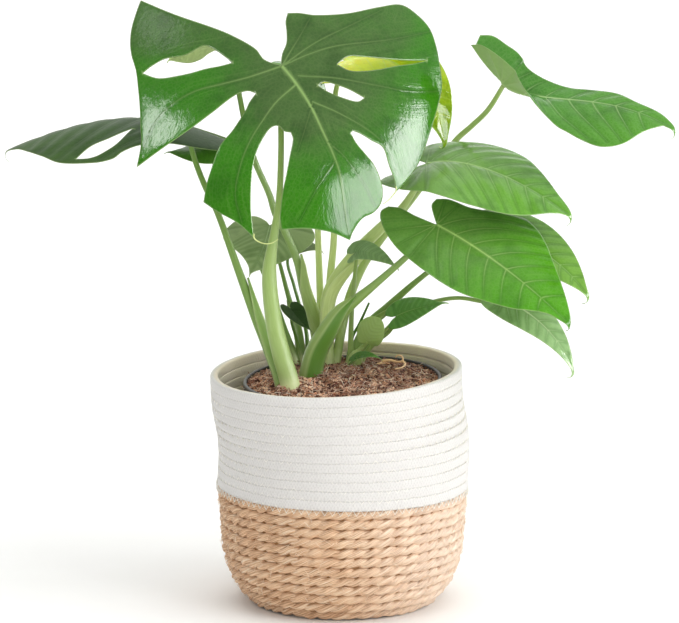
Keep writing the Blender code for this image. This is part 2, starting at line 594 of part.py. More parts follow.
def flat_triangles(outline, holes, step, keel):
    """Splits the flat blade into triangles, with points on a lattice inside and, for a keel, along the midrib."""
    loops = [[tuple(map(float, p)) for p in loop] for loop in [outline, *holes]]
    points, edges = [], []
    for loop in loops:
        first = len(points)
        points += loop
        edges += [(first + i, first + (i + 1) % len(loop)) for i in range(len(loop))]

    def on_blade(p):
        return inside(loops[0], p) and not any(inside(hole, p) for hole in loops[1:])

    low = np.min(loops[0], axis=0)
    high = np.max(loops[0], axis=0)
    ribs = [(float(x), 0.0) for x in np.arange(BLADE_SEAT[0], high[0], step)] if keel else []
    points += [p for p in ribs if on_blade(p) and min(distance_to(loop, p) for loop in loops) > RIB_EDGE]
    for row, y in enumerate(np.arange(low[1], high[1], step * ROW_SHARE)):
        for x in np.arange(low[0] + (row % 2) * step / 2, high[0], step):
            if keel and abs(y) < step * EDGE_SHARE:
                continue
            if on_blade((x, y)) and min(distance_to(loop, (x, y)) for loop in loops) > step * EDGE_SHARE:
                points.append((float(x), float(y)))
    flat, _, triangles, *_ = delaunay_2d_cdt([Vector(p) for p in points], edges, [], 0, 1e-5)
    kept = []
    for triangle in triangles:
        centre = sum((flat[i] for i in triangle), Vector((0, 0))) / 3
        if on_blade(centre):
            kept.append(tuple(triangle))
    return flat, kept


def main_surface(u, v):
    """Where the large front blade's point lies: right and up as measured, and back by its lean and roll."""
    roll = MAIN_ROLL_RIGHT if u > 0 else MAIN_ROLL_LEFT
    back = MAIN_LEAN * v + MAIN_LEAN_GROWTH * v * v + roll * u * u
    x, y, z = MAIN_ATTACH
    return mm(x + u, y + back, z + v)


class Midrib:
    """A blade's midrib as a Bezier, with the way its face looks along it."""

    def __init__(self, leaf, samples=120):
        p = np.array(leaf["midrib"], float)
        u = np.linspace(0, 1, samples)[:, None]
        self.line = (1 - u)**3 * p[0] + 3 * (1 - u)**2 * u * p[1] + 3 * (1 - u) * u**2 * p[2] + u**3 * p[3]
        self.along = np.append(0, np.cumsum(np.linalg.norm(np.diff(self.line, axis=0), axis=1)))
        self.tangent = np.gradient(self.line, axis=0)
        share = self.along[:, None] / self.along[-1]
        base, tip = (np.array(face) / np.linalg.norm(face) for face in leaf["faces"])
        self.face = base * (1 - share) + tip * share

    def frame(self, s):
        """Point, tangent, rightward and facing directions at a length along the midrib."""
        on = min(max(s, 0.0), self.along[-1])
        point, tangent, face = (
            np.array([np.interp(on, self.along, values[:, axis]) for axis in range(3)])
            for values in (self.line, self.tangent, self.face)
        )
        tangent /= np.linalg.norm(tangent)
        right = np.cross(face, tangent)
        right /= np.linalg.norm(right)
        return point + tangent * (s - on), tangent, right, np.cross(tangent, right)


def bent_surface(leaf, midrib, s, t):
    """Where a blade's flat point lies, with each half lifted from the midrib and curled."""
    point, _, right, face = midrib.frame(s)
    at_base, at_tip, curl = leaf["right"] if t > 0 else leaf["left"]
    share = min(1.0, max(0.0, s / leaf.get("reach", midrib.along[-1])))
    lift = math.radians(at_base + (at_tip - at_base) * share * share * (3 - 2 * share))
    bend = math.radians(curl) / (leaf["width"] / 2)
    out = (math.sin(lift + bend * abs(t)) - math.sin(lift)) / bend
    up = (math.cos(lift) - math.cos(lift + bend * abs(t))) / bend
    return mm(*(point + right * math.copysign(out, t) + face * up))


def add_blade(name, outline, holes, surface, collection):
    """A blade as a bent sheet of one thickness, split alike on both faces."""
    longest = max(np.ptp(np.array(outline, float), axis=0))
    step = max(GRID_FINEST, min(GRID_STEP, longest / GRID_COUNT))
    flat, triangles = flat_triangles(outline, holes, step, surface is not main_surface)
    obj = mesh_object(name, [surface(*p) for p in flat], triangles, collection)
    solidify = obj.modifiers.new("thickness", "SOLIDIFY")
    solidify.thickness = BLADE_THICKNESS * 0.001
    solidify.offset = 0.0
    coloured(realised(obj), name if name in COLOURS else "blade")


def blade_surfaces():
    """For each blade, the function that bends its flat points into place."""
    surfaces = {"blade_main": main_surface}
    for name, leaf in BLADES.items():
        surfaces[name] = functools.partial(bent_surface, leaf, Midrib(leaf))
    return surfaces


def build_blades(collection, surfaces):
    add_blade("blade_main", MAIN_OUTLINE, MAIN_HOLES, surfaces["blade_main"], collection)
    for name, leaf in BLADES.items():
        outline = leaf["outline"]
        if not isinstance(outline[0], tuple):
            outline = heart(*outline)
        add_blade(name, outline, leaf.get("holes", ()), surfaces[name], collection)


def main():
    clear_scene()
    parts = new_collection("potted_swiss_cheese_plant")
    cutters = new_collection("cutters")
    build_basket(parts)
    build_pot(parts)
    soil = build_soil(parts)
    surfaces = blade_surfaces()
    build_stems(parts, cutters, soil, surfaces)
    build_blades(parts, surfaces)
    for cutter in cutters.objects:
        cutter.hide_render = True
        cutter.display_type = "WIRE"


main()
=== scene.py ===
"""The looks of a potted swiss cheese plant: leaves, stems, rope basket, nursery pot and coir soil.

Blender 4.5 script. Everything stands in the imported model's frame, in metres. Leaf, stem and basket sizes are
written in millimetres, as they were measured.
"""

import math
import random

import bmesh
import bpy
import numpy as np
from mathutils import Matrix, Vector
from mathutils.noise import fractal
from mathutils.geometry import delaunay_2d_cdt


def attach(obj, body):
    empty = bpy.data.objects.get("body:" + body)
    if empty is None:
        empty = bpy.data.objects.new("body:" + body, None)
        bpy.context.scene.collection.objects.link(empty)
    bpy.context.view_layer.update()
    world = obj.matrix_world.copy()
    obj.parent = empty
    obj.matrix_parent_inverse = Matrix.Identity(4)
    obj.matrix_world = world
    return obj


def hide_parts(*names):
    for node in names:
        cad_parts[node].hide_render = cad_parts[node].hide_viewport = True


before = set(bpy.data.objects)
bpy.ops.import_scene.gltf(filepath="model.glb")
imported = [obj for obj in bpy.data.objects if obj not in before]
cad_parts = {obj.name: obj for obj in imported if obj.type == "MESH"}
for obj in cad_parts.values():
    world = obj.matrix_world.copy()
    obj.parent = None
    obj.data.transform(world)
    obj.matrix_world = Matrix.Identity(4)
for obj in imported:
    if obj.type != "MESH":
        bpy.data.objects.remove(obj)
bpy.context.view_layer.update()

MM = 0.001

# Basket and pot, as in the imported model.
BASKET_RADIUS = 126.5
BASKET_HEIGHT = 236.5
BASKET_WALL = 8.0
FOOT_RADIUS = 78.0
CORNER_RADIUS = 123.5
CORNER_HEIGHT = 74.0
SEAM_HEIGHT = 116.5
COTTON_ROWS = 12
SEAGRASS_ROWS = 12
# How much higher the rim stands per millimetre toward the right and the back and, in this scene alone, the
# seam toward the left.
RIM_RISE_RIGHT = 0.044
RIM_RISE_BACK = 0.055
SEAM_RISE_LEFT = 0.0138
# How far the soft upper wall stands to the right, by height.
WALL_LEAN = ((116.5, 0.0), (150.0, 1.5), (172.0, 0.5), (200.0, -4.5), (216.0, -6.0), (236.5, -6.5))
POT_RIM_RADIUS = 100.0
POT_TOP_RADIUS = 97.5
POT_FOOT_RADIUS = 80.0
POT_WALL = 1.4
POT_RIM_HEIGHT = 227.0
POT_RIM_DROP = 6.0
SOIL_EDGE_HEIGHT = 221.0
SOIL_MOUND = 7.0
HEAP_CENTRE = (-50.0, -46.0)
HEAP_HEIGHT = 8.0
HEAP_REACH = 26.0
# The fine soil: how far it stands above that level, the width and height of its lumps, and its foot.
SOIL_FILL = 2.6
SOIL_LUMP = 15.0
SOIL_LUMP_HEIGHT = 4.8
SOIL_FOOT_RADIUS = POT_FOOT_RADIUS - 3
SOIL_FOOT_HEIGHT = 10.5
# How deep the stems stand in the soil, and how thick and how finely divided their sheaths are.
STEM_DEPTH = 24.0
SHEATH_THICKNESS = 0.55
SHEATH_ROWS = 34
SHEATH_COLUMNS = 15

# Rope: two plies of twisted seagrass a row, and a soft braided cotton rope sewn row on row.
ROPE_LAY = 27.5
PLY_OFFSET = 1.6
PLY_RADIUS = 4.05
THREAD_RADIUS = 0.42
# Where the lowest row begins, how far the rows stand out past the wall's face, and the base's row pitch.
LOWEST_ROW = 1.5
ROPE_BULGE = 0.3
BASE_PITCH = 8.9
# The lining of the seagrass wall: how far it lies behind the rope's face, how high it starts and how thick
# it is.
LINING_DEPTH = 5.0
LINING_FOOT = 5.0
LINING_WALL = 1.5
# The largest random turn of a crumb or fibre, in radians.
FULL_TURN = 6.283

BLADE_THICKNESS = 0.8
QUILT_DEPTH = {"main": 0.3, "other": 0.9}
MARGIN_WIDTH = 1.1
# Where side veins leave the midrib, as a share of its length, and the angles of those at its base in degrees.
VEIN_STARTS = (0.02, 0.13, 0.25, 0.38, 0.51, 0.64, 0.77)
BASE_VEIN_ANGLES = (84, 110, 136)
DRIP_TAIL = 9.0
TAIL_START = 7.0
TAIL_BEND = 7.0
TAIL_RADIUS = 0.75

# The large front leaf, measured as it faces the front: right and up from its stem's end.
MAIN_ATTACH = (-59, -50, 544)
MAIN_OUTLINE = (
    (-1, 1), (0, 11), (4, 21), (4, 33), (3, 41), (5, 49), (17, 49), (32, 47), (64, 48), (96, 53),
    (118, 54), (136, 42), (147, 29), (153, 12), (156, -5), (158, -25), (154, -42), (145, -69), (134, -95),
    (121, -112), (111, -121), (109, -109), (104, -95), (98, -78), (87, -71), (76, -64), (69, -61), (67, -63),
    (72, -72), (81, -83), (89, -93), (95, -106), (98, -119), (96, -131), (89, -139), (78, -144), (69, -156),
    (66, -164), (49, -156), (32, -152), (18, -151), (0, -152), (-1, -139), (1, -119), (5, -99), (8, -83),
    (11, -67), (9, -61), (3, -60), (-3, -55), (-9, -56), (-14, -61), (-22, -75), (-26, -87), (-28, -99),
    (-29, -131), (-26, -160), (-42, -146), (-61, -136), (-75, -127), (-72, -110), (-68, -97), (-60, -75),
    (-47, -59), (-35, -41), (-31, -33), (-25, -25), (-33, -23), (-45, -27), (-68, -44), (-87, -58),
    (-117, -79), (-141, -97), (-137, -74), (-138, -58), (-139, -41), (-141, -25), (-144, -7), (-149, 7),
    (-151, 19), (-150, 33), (-145, 51), (-142, 59), (-108, 47), (-68, 35), (-49, 28), (-26, 16), (-17, 6),
)
MAIN_HOLES = (
    ((54, 1), (62, 7), (70, 8), (96, 5), (118, 2), (143, 0), (128, -2), (111, -3), (96, -5), (81, -6),
     (66, -5)),
    ((35, -18), (41, -15), (53, -18), (66, -23), (80, -31), (74, -34), (62, -31), (45, -24)),
    ((-137, -9), (-128, -2), (-115, 5), (-95, 9), (-76, 18), (-65, 14), (-57, 9), (-48, 3), (-59, 0),
     (-74, -3), (-88, -7), (-101, -10), (-121, -13)),
)
MAIN_LEAN = 0.73
MAIN_LEAN_GROWTH = 0.00208
MAIN_ROLL_RIGHT = 0.0034
MAIN_ROLL_LEFT = 0.0017
# Each vein of the front leaf: its half width where it starts and ends, then its points.
MAIN_VEINS = (
    (2.0, 0.55, ((0, 0), (13, -15), (28, -37), (39, -59), (49, -80), (56, -100), (62, -141), (65, -160))),
    (1.15, 0.45, ((0, 0), (-31, -10), (-58, -17), (-84, -24), (-107, -37), (-124, -55), (-136, -80))),
    (1.0, 0.4, ((0, 0), (-40, 10), (-74, 19), (-98, 28), (-125, 33), (-143, 36))),
    (0.8, 0.3, ((0, 0), (-22, 10), (-50, 24), (-88, 39), (-120, 49))),
    (1.2, 0.4, ((14, -17), (-5, -33), (-18, -50), (-30, -69), (-39, -91), (-44, -120), (-38, -145))),
    (1.0, 0.4, ((0, 0), (8, 13), (17, 27), (27, 44))),
    (1.0, 0.4, ((0, 0), (32, 21), (70, 38), (98, 50))),
    (1.0, 0.4, ((0, 0), (27, 11), (54, 18), (107, 22), (146, 27))),
    (0.9, 0.4, ((16, -9), (54, -12), (96, -21), (122, -27), (153, -30))),
    (1.0, 0.4, ((30, -33), (55, -44), (85, -62), (103, -80), (112, -104))),
    (0.7, 0.3, ((30, -34), (23, -57), (16, -78))),
    (0.7, 0.3, ((45, -71), (62, -86), (80, -112), (90, -133))),
    (0.7, 0.3, ((52, -88), (35, -112), (18, -143))),
)

# The thin tails of two of its lobes: right, up and how far behind the lobe, in the same measure.
DRIP_TAILS = (
    ((-26, -156, 0), (-26, -160, 0), (-21, -164, 1), (-14, -166, 3), (-8, -165, 5), (-3, -162, 7)),
    ((111, -116, 0), (111, -120, 0), (107, -125, 1), (103, -129, 2), (98.5, -132, 4)),
)
# Dry roots on the soil: their radius and points.
DRY_ROOTS = (
    (1.5, ((34, 43, 232), (40, 43, 234.5), (48, 43, 233.5), (54, 43, 232))),
    (1.6, ((40, 45, 236), (49, 42, 237.5), (56, 41, 236), (61, 41, 237), (61, 41, 241), (56.5, 41, 243),
           (54, 41, 240.5))),
    (1.5, ((61, 41, 237), (63.5, 28, 236), (60, 14, 235), (53, 8, 234.5))),
)

# The other blades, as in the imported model. midrib holds the four control points of a Bezier curve, and faces
# the way that the face looks at its base and tip. right and left are each half's lift at the base and at the
# tip, and its curl, in degrees. outline is along the midrib and to its right, or a plain heart's length and
# width.
BLADES = {
    "blade_left": dict(
        midrib=((-151, 42, 476), (-205, 35, 495), (-267, 32, 485), (-341, 22, 452)),
        faces=((-0.02, -0.20, 0.98), (-0.25, -0.16, 0.95)), width=165, right=(6, 4, -22),
        left=(-15, -15, -14),
        outline=((0, 3), (-20, 6), (-38, 16), (-43, 32), (-30, 48), (-6, 60), (27, 68), (56, 77), (75, 88),
                 (87, 98), (109, 99), (143, 85), (160, 60), (172, 37), (182, 15), (196, 0), (184, -14),
                 (160, -38), (120, -58), (80, -66), (40, -68), (5, -64), (-25, -54), (-42, -36), (-40, -18),
                 (-20, -6)),
        holes=(((126, 86), (107, 69), (87, 59), (62, 40), (80, 72), (99, 87), (112, 90)),),
    ),
    "blade_upright": dict(
        midrib=((159, 24, 522), (189, 21, 494), (261, -6, 523), (329, -30, 478)),
        faces=((0.25, -0.42, 0.80), (0.05, -0.36, 0.93)), width=120, right=(34, 2, -6), left=(66, -2, -14),
        reach=75,
        outline=((0, 2), (-28, 6), (-45, 12), (-48, 22), (-38, 31), (-23, 34), (-7, 36), (19, 30), (43, 26),
                 (65, 24), (85, 25), (113, 26), (135, 18), (161, 14), (175, 8), (186, 0), (172, -4),
                 (161, -26), (149, -56), (129, -69), (105, -66), (78, -53), (57, -42), (30, -36), (5, -35),
                 (-20, -34), (-40, -26), (-48, -12), (-28, -4)),
    ),
    "blade_middle": dict(
        midrib=((84, 20, 441), (120, 13, 453), (182, -4, 428), (228, -20, 391)),
        faces=((0.0, -0.33, 0.94), (0.20, -0.42, 0.88)), width=130, right=(8, 6, -25), left=(8, 6, -25),
        outline=((0, 1), (-12, 16), (-16, 32), (0, 44), (26, 50), (50, 58), (70, 60), (88, 54), (105, 40),
                 (132, 19), (151, 9), (163, 0), (153, -6), (145, -16), (127, -42), (106, -57), (74, -66),
                 (47, -68), (14, -63), (-20, -46), (-38, -30), (-50, -14), (-43, -4), (-20, -2)),
    ),
    "blade_heart": dict(
        midrib=((93, -22, 385), (128, -45, 370), (180, -96, 339), (220, -110, 298)),
        faces=((-0.05, -0.66, 0.75), (0.20, -0.72, 0.66)), width=140, right=(6, 4, -30), left=(6, 4, -30),
        outline=((0, 0), (-14, 12), (-20, 19), (-21, 28), (-11, 35), (12, 39), (34, 55), (54, 72), (73, 68),
                 (91, 59), (113, 45), (136, 31), (157, 18), (170, 9), (180, 0), (167, -5), (156, -9),
                 (142, -20), (129, -31), (104, -43), (74, -52), (35, -53), (-9, -47), (-34, -37), (-50, -26),
                 (-57, -16), (-55, -7), (-44, -2), (-25, -2)),
    ),
    "blade_behind": dict(
        midrib=((147, 6, 374), (181, -9, 369), (218, -29, 355), (247, -38, 309)),
        faces=((0.0, -0.50, 0.86), (0.45, -0.55, 0.70)), width=95, right=(8, 6, -22), left=(8, 6, -22),
        outline=(128, 92),
    ),
    "blade_hanging": dict(
        midrib=((162, -6, 307), (193, -19, 296), (222, -37, 269), (230, -44, 235)),
        faces=((0.10, -0.66, 0.74), (0.62, -0.70, 0.34)), width=50, right=(8, 6, -25), left=(8, 6, -25),
        outline=(108, 46),
    ),
    "blade_back": dict(
        midrib=((-75, 110, 367), (-79, 89, 353), (-82, 70, 342), (-95, 64, 323)),
        faces=((-0.08, -0.55, 0.83), (-0.15, -0.80, 0.58)), width=98, right=(4, 2, -24), left=(4, 2, -24),
        outline=(68, 98),
    ),
    "blade_grey": dict(
        midrib=((-57, 110, 340), (-43, 105, 347), (-32, 100, 347), (-21, 96, 342)),
        faces=((0.0, -0.42, 0.90), (0.2, -0.42, 0.88)), width=32, right=(8, 6, -20), left=(8, 6, -20),
        outline=(40, 34),
    ),
    "blade_dark": dict(
        midrib=((-53, 30, 293), (-47, 22, 287), (-41, 21, 278), (-31, 16, 272)),
        faces=((0.3, -0.60, 0.74), (0.4, -0.60, 0.70)), width=26, right=(18, 16, -10), left=(18, 16, -10),
        outline=(33, 26),
    ),
    "blade_lime": dict(
        midrib=((3, 46, 543), (40, 34, 556), (95, 22, 536), (103, 26, 455)),
        faces=((0.20, -0.40, 0.88), (0.50, -0.82, 0.20)), width=105, right=(10, 8, -24), left=(10, 8, -24),
        outline=(157, 104),
    ),
    "blade_pale": dict(
        midrib=((-120, 22, 557), (-133, 28, 560), (-152, 38, 555), (-174, 46, 543)),
        faces=((-0.35, 0.72, 0.60), (-0.20, 0.84, 0.50)), width=38, right=(12, 10, -20), left=(12, 10, -20),
        outline=((0, 0), (-5, 3), (-6, 7), (0, 10), (14, 12), (32, 12), (48, 8), (57, 3), (62, 0), (57, -8),
                 (47, -16), (34, -17), (23, -13), (10, -8), (-2, -6), (-5, -3)),
    ),
    "blade_hidden": dict(
        midrib=((-25, 64, 481), (-50, 86, 512), (-56, 120, 545), (-64, 158, 530)),
        faces=((-0.2, 0.55, 0.82), (-0.1, 0.62, 0.78)), width=92, right=(10, 8, -24), left=(10, 8, -24),
        outline=(118, 92),
    ),
    "blade_under": dict(
        midrib=((-135, 84, 453), (-148, 64, 447), (-156, 58, 445), (-178, 50, 450)),
        faces=((-0.2, -0.36, 0.91), (-0.1, -0.30, 0.95)), width=56, right=(-6, -4, -30), left=(4, 4, -20),
        outline=(56, 58),
    ),
    "blade_dusk": dict(
        midrib=((12, 25, 350), (20, 17, 357), (38, 8, 350), (56, 0, 338)),
        faces=((-0.25, -0.76, 0.60), (0.2, -0.66, 0.72)), width=26, right=(16, 14, -10), left=(16, 14, -10),
        outline=(53, 24),
    ),
    "blade_curl": dict(
        midrib=((54, 22, 286), (68, 14, 295), (88, 6, 300), (104, -2, 304)),
        faces=((-0.2, -0.84, 0.50), (0.1, -0.84, 0.54)), width=30, right=(12, 8, -12), left=(12, 6, -16),
        outline=(57, 30),
    ),
    "blade_disc": dict(
        midrib=((25, 24, 258), (25, 17, 268), (34, 13, 279), (39, 11, 287)),
        faces=((-0.2, -0.90, 0.38), (-0.2, -0.94, 0.28)), width=29, right=(10, 8, -16), left=(10, 8, -16),
        outline=((0, 0), (-2, 6), (2, 11), (9, 14), (17, 15), (25, 12), (31, 7), (34, 0), (31, -7),
                 (25, -12), (17, -15), (9, -14), (2, -11), (-2, -6)),
    ),
    "blade_soil": dict(
        midrib=((11, 19, 242), (19, 14, 249), (30, 13, 249), (40, 10, 244)),
        faces=((-0.1, -0.50, 0.86), (0.2, -0.50, 0.84)), width=14, right=(20, 18, -10), left=(20, 18, -10),
        outline=(31, 13),
    ),
}

# The leaf stems of each crown, from the soil up toward the blade that each carries: x, y, z and radius.
CROWNS = {
    "stems_front": {
        "blade_main": ((-52, -50, 228, 10.0), (-61, -52, 262, 9.4), (-68, -54, 295, 8.4), (-72, -56, 341, 7.2),
                       (-67, -58, 380, 4.4), (-62, -58, 414, 3.4), (-60, -54, 463, 3.0), (-60, -48, 502, 2.9)),
        "blade_left": ((-61, -39, 226, 6.6), (-74, -28, 262, 6.2), (-86, -16, 290, 5.6), (-104, 2, 335, 4.2),
                       (-125, 22, 390, 3.4), (-139, 34, 418, 3.2), (-148, 41, 440, 3.0), (-153, 43, 458, 2.8)),
    },
    "stems_centre": {
        "blade_heart": ((-32, 0, 230, 10.4), (-25, -2, 256, 9.8), (-10, -8, 282, 8.2), (2, -10, 298, 6.6),
                        (32, -14, 324, 4.0), (63, -18, 352, 3.2), (82, -20, 371, 2.8)),
    },
    "stems_back": {
        "blade_middle": ((-15, 50, 230, 7.0), (-17, 50, 270, 7.0), (-13, 50, 307, 7.4), (12, 46, 345, 7.0),
                         (43, 40, 378, 5.6), (57, 36, 391, 4.4), (70, 30, 410, 3.4)),
        "blade_upright": ((-7, 55, 230, 5.0), (4, 66, 288, 5.0), (20, 70, 329, 4.6), (44, 68, 365, 4.2),
                          (73, 74, 402, 3.8), (115, 72, 459, 3.2), (130, 64, 474, 3.0), (146, 48, 492, 2.8)),
        "blade_pale": ((-22, 58, 230, 5.4), (-27, 62, 270, 6.4), (-39, 60, 307, 5.4), (-46, 56, 337, 4.4),
                       (-58, 52, 367, 4.0), (-68, 48, 387, 3.8), (-74, 45, 407, 3.4), (-90, 36, 447, 3.2),
                       (-103, 27, 508, 2.8), (-106, 25, 538, 2.6)),
        "blade_lime": ((-15, 62, 230, 5.0), (-12, 70, 277, 4.6), (-13, 71, 311, 4.2), (-9, 68, 358, 3.6),
                       (-8, 62, 420, 3.2), (-8, 56, 481, 2.9), (-6, 51, 515, 2.7)),
        "blade_hidden": ((-21, 67, 230, 4.6), (-22, 78, 268, 4.2), (-23, 80, 297, 4.0), (-25, 78, 357, 3.4),
                         (-26, 72, 419, 3.0)),
    },
    "stems_right": {
        "blade_behind": ((10, 58, 230, 5.0), (22, 60, 266, 4.8), (45, 54, 290, 4.2), (86, 40, 328, 2.8),
                         (120, 22, 352, 2.6)),
        "blade_hanging": ((13, 52, 230, 4.0), (31, 47, 254, 3.4), (47, 42, 268, 3.0), (56, 36, 282, 2.6),
                          (88, 20, 300, 2.3), (116, 8, 307, 2.1), (147, -3, 304, 2.0)),
        "blade_dusk": ((8, 47, 230, 3.5), (9, 42, 281, 2.6), (12, 37, 322, 2.2)),
        "blade_curl": ((17, 46, 230, 3.4), (31, 36, 256, 2.6), (44, 32, 271, 1.8)),
        "blade_disc": ((12, 40, 230, 6.0), (14, 37, 243, 5.2), (20, 33, 252, 2.6)),
        "blade_soil": ((8, 36, 228, 3.0), (8, 29, 236, 2.2)),
        "spike": ((5, 54, 230, 2.4), (10, 54, 259, 1.7), (17, 52, 273, 1.5), (27, 46, 296, 1.1)),
    },
    "stems_left": {
        "blade_back": ((-42, 72, 230, 4.5), (-45, 82, 261, 4.0), (-55, 100, 291, 2.8), (-66, 116, 330, 2.0),
                       (-72, 117, 352, 1.9)),
        "blade_grey": ((-36, 72, 230, 2.8), (-37, 88, 256, 2.3), (-42, 99, 276, 2.0), (-51, 108, 307, 1.8),
                       (-57, 112, 328, 1.7)),
        "blade_dark": ((-41, 67, 230, 2.4), (-47, 62, 256, 1.8), (-52, 48, 276, 1.5)),
        "blade_under": ((-47, 69, 230, 3.2), (-60, 80, 265, 3.0), (-74, 104, 300, 2.8), (-93, 130, 340, 2.6),
                        (-113, 130, 393, 2.4), (-131, 104, 430, 2.2)),
    },
}

# How pale each leaf stem is, from 0, deep green, to 1, yellow-green.
STEM_TINTS = {
    "blade_main": 0.44, "blade_left": 0.24, "blade_heart": 0.3, "blade_middle": 0.8, "blade_upright": 0.6,
    "blade_pale": 0.3, "blade_lime": 1.05, "blade_hidden": 1.0, "blade_behind": 0.25, "blade_hanging": 0.3,
    "blade_dusk": 0.4, "blade_curl": 0.42, "blade_disc": 0.5, "blade_soil": 0.5, "spike": 0.04,
    "blade_back": 0.2, "blade_grey": 0.1, "blade_dark": 0.1, "blade_under": 0.2,
}

# Leaf sheaths: how far along the stem each starts and ends in millimetres, the side that it wraps in degrees,
# its half angle, the height of its keel, how far its tip stands off, and the tints of its two halves. The two
# halves' tints are painted light and shade: one half is painted lighter and the other darker.
SHEATHS = {
    "blade_heart": (-8, 96, 62, 105, 3.2, 3.0, 0.42, 0.08),
    "blade_left": (-4, 112, 150, 100, 2.5, 1.2, 0.25, 0.6),
    "blade_middle": (24, 142, 150, 100, 2.0, 2.0, 1.05, 0.7),
    "blade_pale": (24, 116, 140, 115, 3.0, 2.0, 0.5, 1.0),
    "blade_behind": (-6, 84, 120, 85, 1.2, 1.5, 0.4, 0.3),
    "blade_back": (-6, 66, 60, 80, 1.0, 1.5, 0.3, 0.25),
    "blade_disc": (-6, 30, 90, 100, 1.6, 0.8, 0.62, 0.5),
}

# The greens of each blade as hex: its middle, its outer part, its veins and its underside.
LEAF_GREENS = {
    # blade_main: its dull grey-green middle is painted sheen, a grey veil of reflected light.
    "blade_main": ("3f5e2a", "2e7402", "88a860", "7f9a55"),
    "blade_left": ("304a26", "3a5824", "6c8c56", "7d9263"),
    "blade_upright": ("44802a", "4a8a20", "a8cc80", "86ab5c"),
    "blade_middle": ("709a50", "66a038", "a4c878", "8fae67"),
    "blade_heart": ("5c8c3a", "4a9608", "a4c870", "86a55f"),
    "blade_behind": ("649440", "6ea036", "9cc470", "8fae67"),
    # blade_hanging: its pale whitish greens are partly painted sheen.
    "blade_hanging": ("82a86a", "98be80", "c4d8a8", "a8bb90"),
    "blade_back": ("889c6a", "92a872", "9cb280", "94a874"),
    # blade_grey: its greys are painted sheen, standing for light glancing off its face; the blade itself is
    # dull.
    "blade_grey": ("86956e", "8e9d76", "9cab86", "96a47c"),
    "blade_dark": ("243c14", "2c4a17", "3f5c28", "3d5527"),
    # blade_lime: its near-white yellow middle is painted light, as if lit through from behind where it shows
    # through the front blade's hole. Its outer part is a deeper olive.
    "blade_lime": ("f4ff48", "728c08", "dcf07c", "bcd856"),
    "blade_pale": ("8fa858", "9db463", "c6d69a", "dcf0a4"),
    "blade_hidden": ("4f7a33", "578a33", "8fb26c", "87a465"),
    "blade_under": ("4f8a22", "5a962a", "86ae58", "6f944a"),
    "blade_dusk": ("82a26a", "8cac72", "a0ba8a", "94b07c"),
    "blade_curl": ("629646", "6aa04e", "8cb060", "6f8f4a"),
    "blade_disc": ("7aa648", "84ae50", "98bc6a", "98b95d"),
    "blade_soil": ("52803c", "5c8a44", "a4b858", "7f9f58"),
}
# The lowest roughness of a blade and its level of shine, and those of the duller blades.
LEAF_GLOSS = (0.075, 0.36)
DULL_LEAVES = {
    "blade_left": (0.4, 0.2), "blade_under": (0.35, 0.3), "blade_back": (0.5, 0.2), "blade_grey": (0.5, 0.2),
    "blade_dark": (0.35, 0.25), "blade_dusk": (0.4, 0.3), "blade_disc": (0.35, 0.3), "blade_pale": (0.4, 0.3),
}
YOUNG_LEAVES = ("blade_lime", "blade_disc")
# How strongly lines and the painted shade of creases show on a young leaf, from 0 to 1.
YOUNG_RELIEF = 0.12

# The stage, in metres: a floor that bends up into a backdrop.
FLOOR_FRONT = -6.0
FLOOR_BACK = 3.0
FLOOR_SIDE = 9.0
SWEEP_RADIUS = 2.5
BACKDROP_HEIGHT = 7.0
# The camera: its place, how far it looks down in degrees, and its lens from the photo's own measures.
CAMERA_PLACE = (-0.003, -3.0, 0.775)
CAMERA_DIP = 9.1
FOCAL_PIXELS = 3034
PHOTO_WIDTH_PIXELS = 679
SENSOR_WIDTH = 36.0
# Softboxes: place, target, width and height in metres, and watts.
SOFTBOXES = {
    "key_right": ((2.1, -1.3, 1.4), (0.0, 0.0, 0.4), 2.1, 2.1, 34),
    "fill_top": ((0.1, -0.6, 2.6), (0.0, 0.0, 0.4), 2.0, 1.8, 14),
    "fill_front": ((-0.3, -2.7, 0.7), (0.0, 0.0, 0.3), 1.8, 1.2, 13),
    "backdrop_wash": ((0.0, 2.2, 4.2), (0.0, 4.6, 1.2), 5.0, 1.0, 120),
}
# Windows give the white sheens: a long low one at the right, its softer front end, and two at the left. Each
# has its turn to the right and its rise in degrees, its distance, width and height in metres, and watts.
WINDOW_TARGET = (0.0, 0.0, 0.52)
GLOSS_WINDOWS = {
    "window_right": (90, 13.8, 2.6, 1.6, 1.03, 105),
    "window_front": (54, 8.5, 2.6, 1.7, 1.1, 82),
    "window_left_low": (-56, 33.0, 2.4, 0.6, 0.56, 19),
    "window_left_high": (-84, 57.0, 2.4, 0.42, 0.42, 1.4),
}


def linear(hex_colour):
    """A screen colour, as hex, in the linear values that a shader takes."""
    channels = [int(hex_colour[i:i + 2], 16) / 255 for i in (0, 2, 4)]
    return [c / 12.92 if c <= 0.04045 else ((c + 0.055) / 1.055) ** 2.4 for c in channels] + [1.0]


def feed(tree, node, feeds):
    """Sets a node's inputs by name or place: a number, a colour as hex or the output that it is linked to."""
    for key, value in feeds.items():
        socket = node.inputs[key]
        if isinstance(value, bpy.types.NodeSocket):
            tree.links.new(value, socket)
        else:
            socket.default_value = linear(value) if socket.type == "RGBA" else value


def add(tree, kind, feeds=None, output=0, **settings):
    """Adds a node with its settings and links, and gives one of its outputs. Shader nodes are named without
    ShaderNode."""
    node = tree.nodes.new(kind if "Node" in kind else "ShaderNode" + kind)
    for name, value in settings.items():
        setattr(node, name, value)
    feed(tree, node, feeds or {})
    return node.outputs[output] if len(node.outputs) else node


def new_material(name, roughness, ior=1.45):
    """A material, its node tree, its shader with the constant values set, and the point on the piece."""
    material = bpy.data.materials.new(name)
    material.use_nodes = True
    tree = material.node_tree
    shader = tree.nodes["Principled BSDF"]
    feed(tree, shader, {"Roughness": roughness, "IOR": ior})
    return material, tree, shader, add(tree, "TexCoord", output="Object")


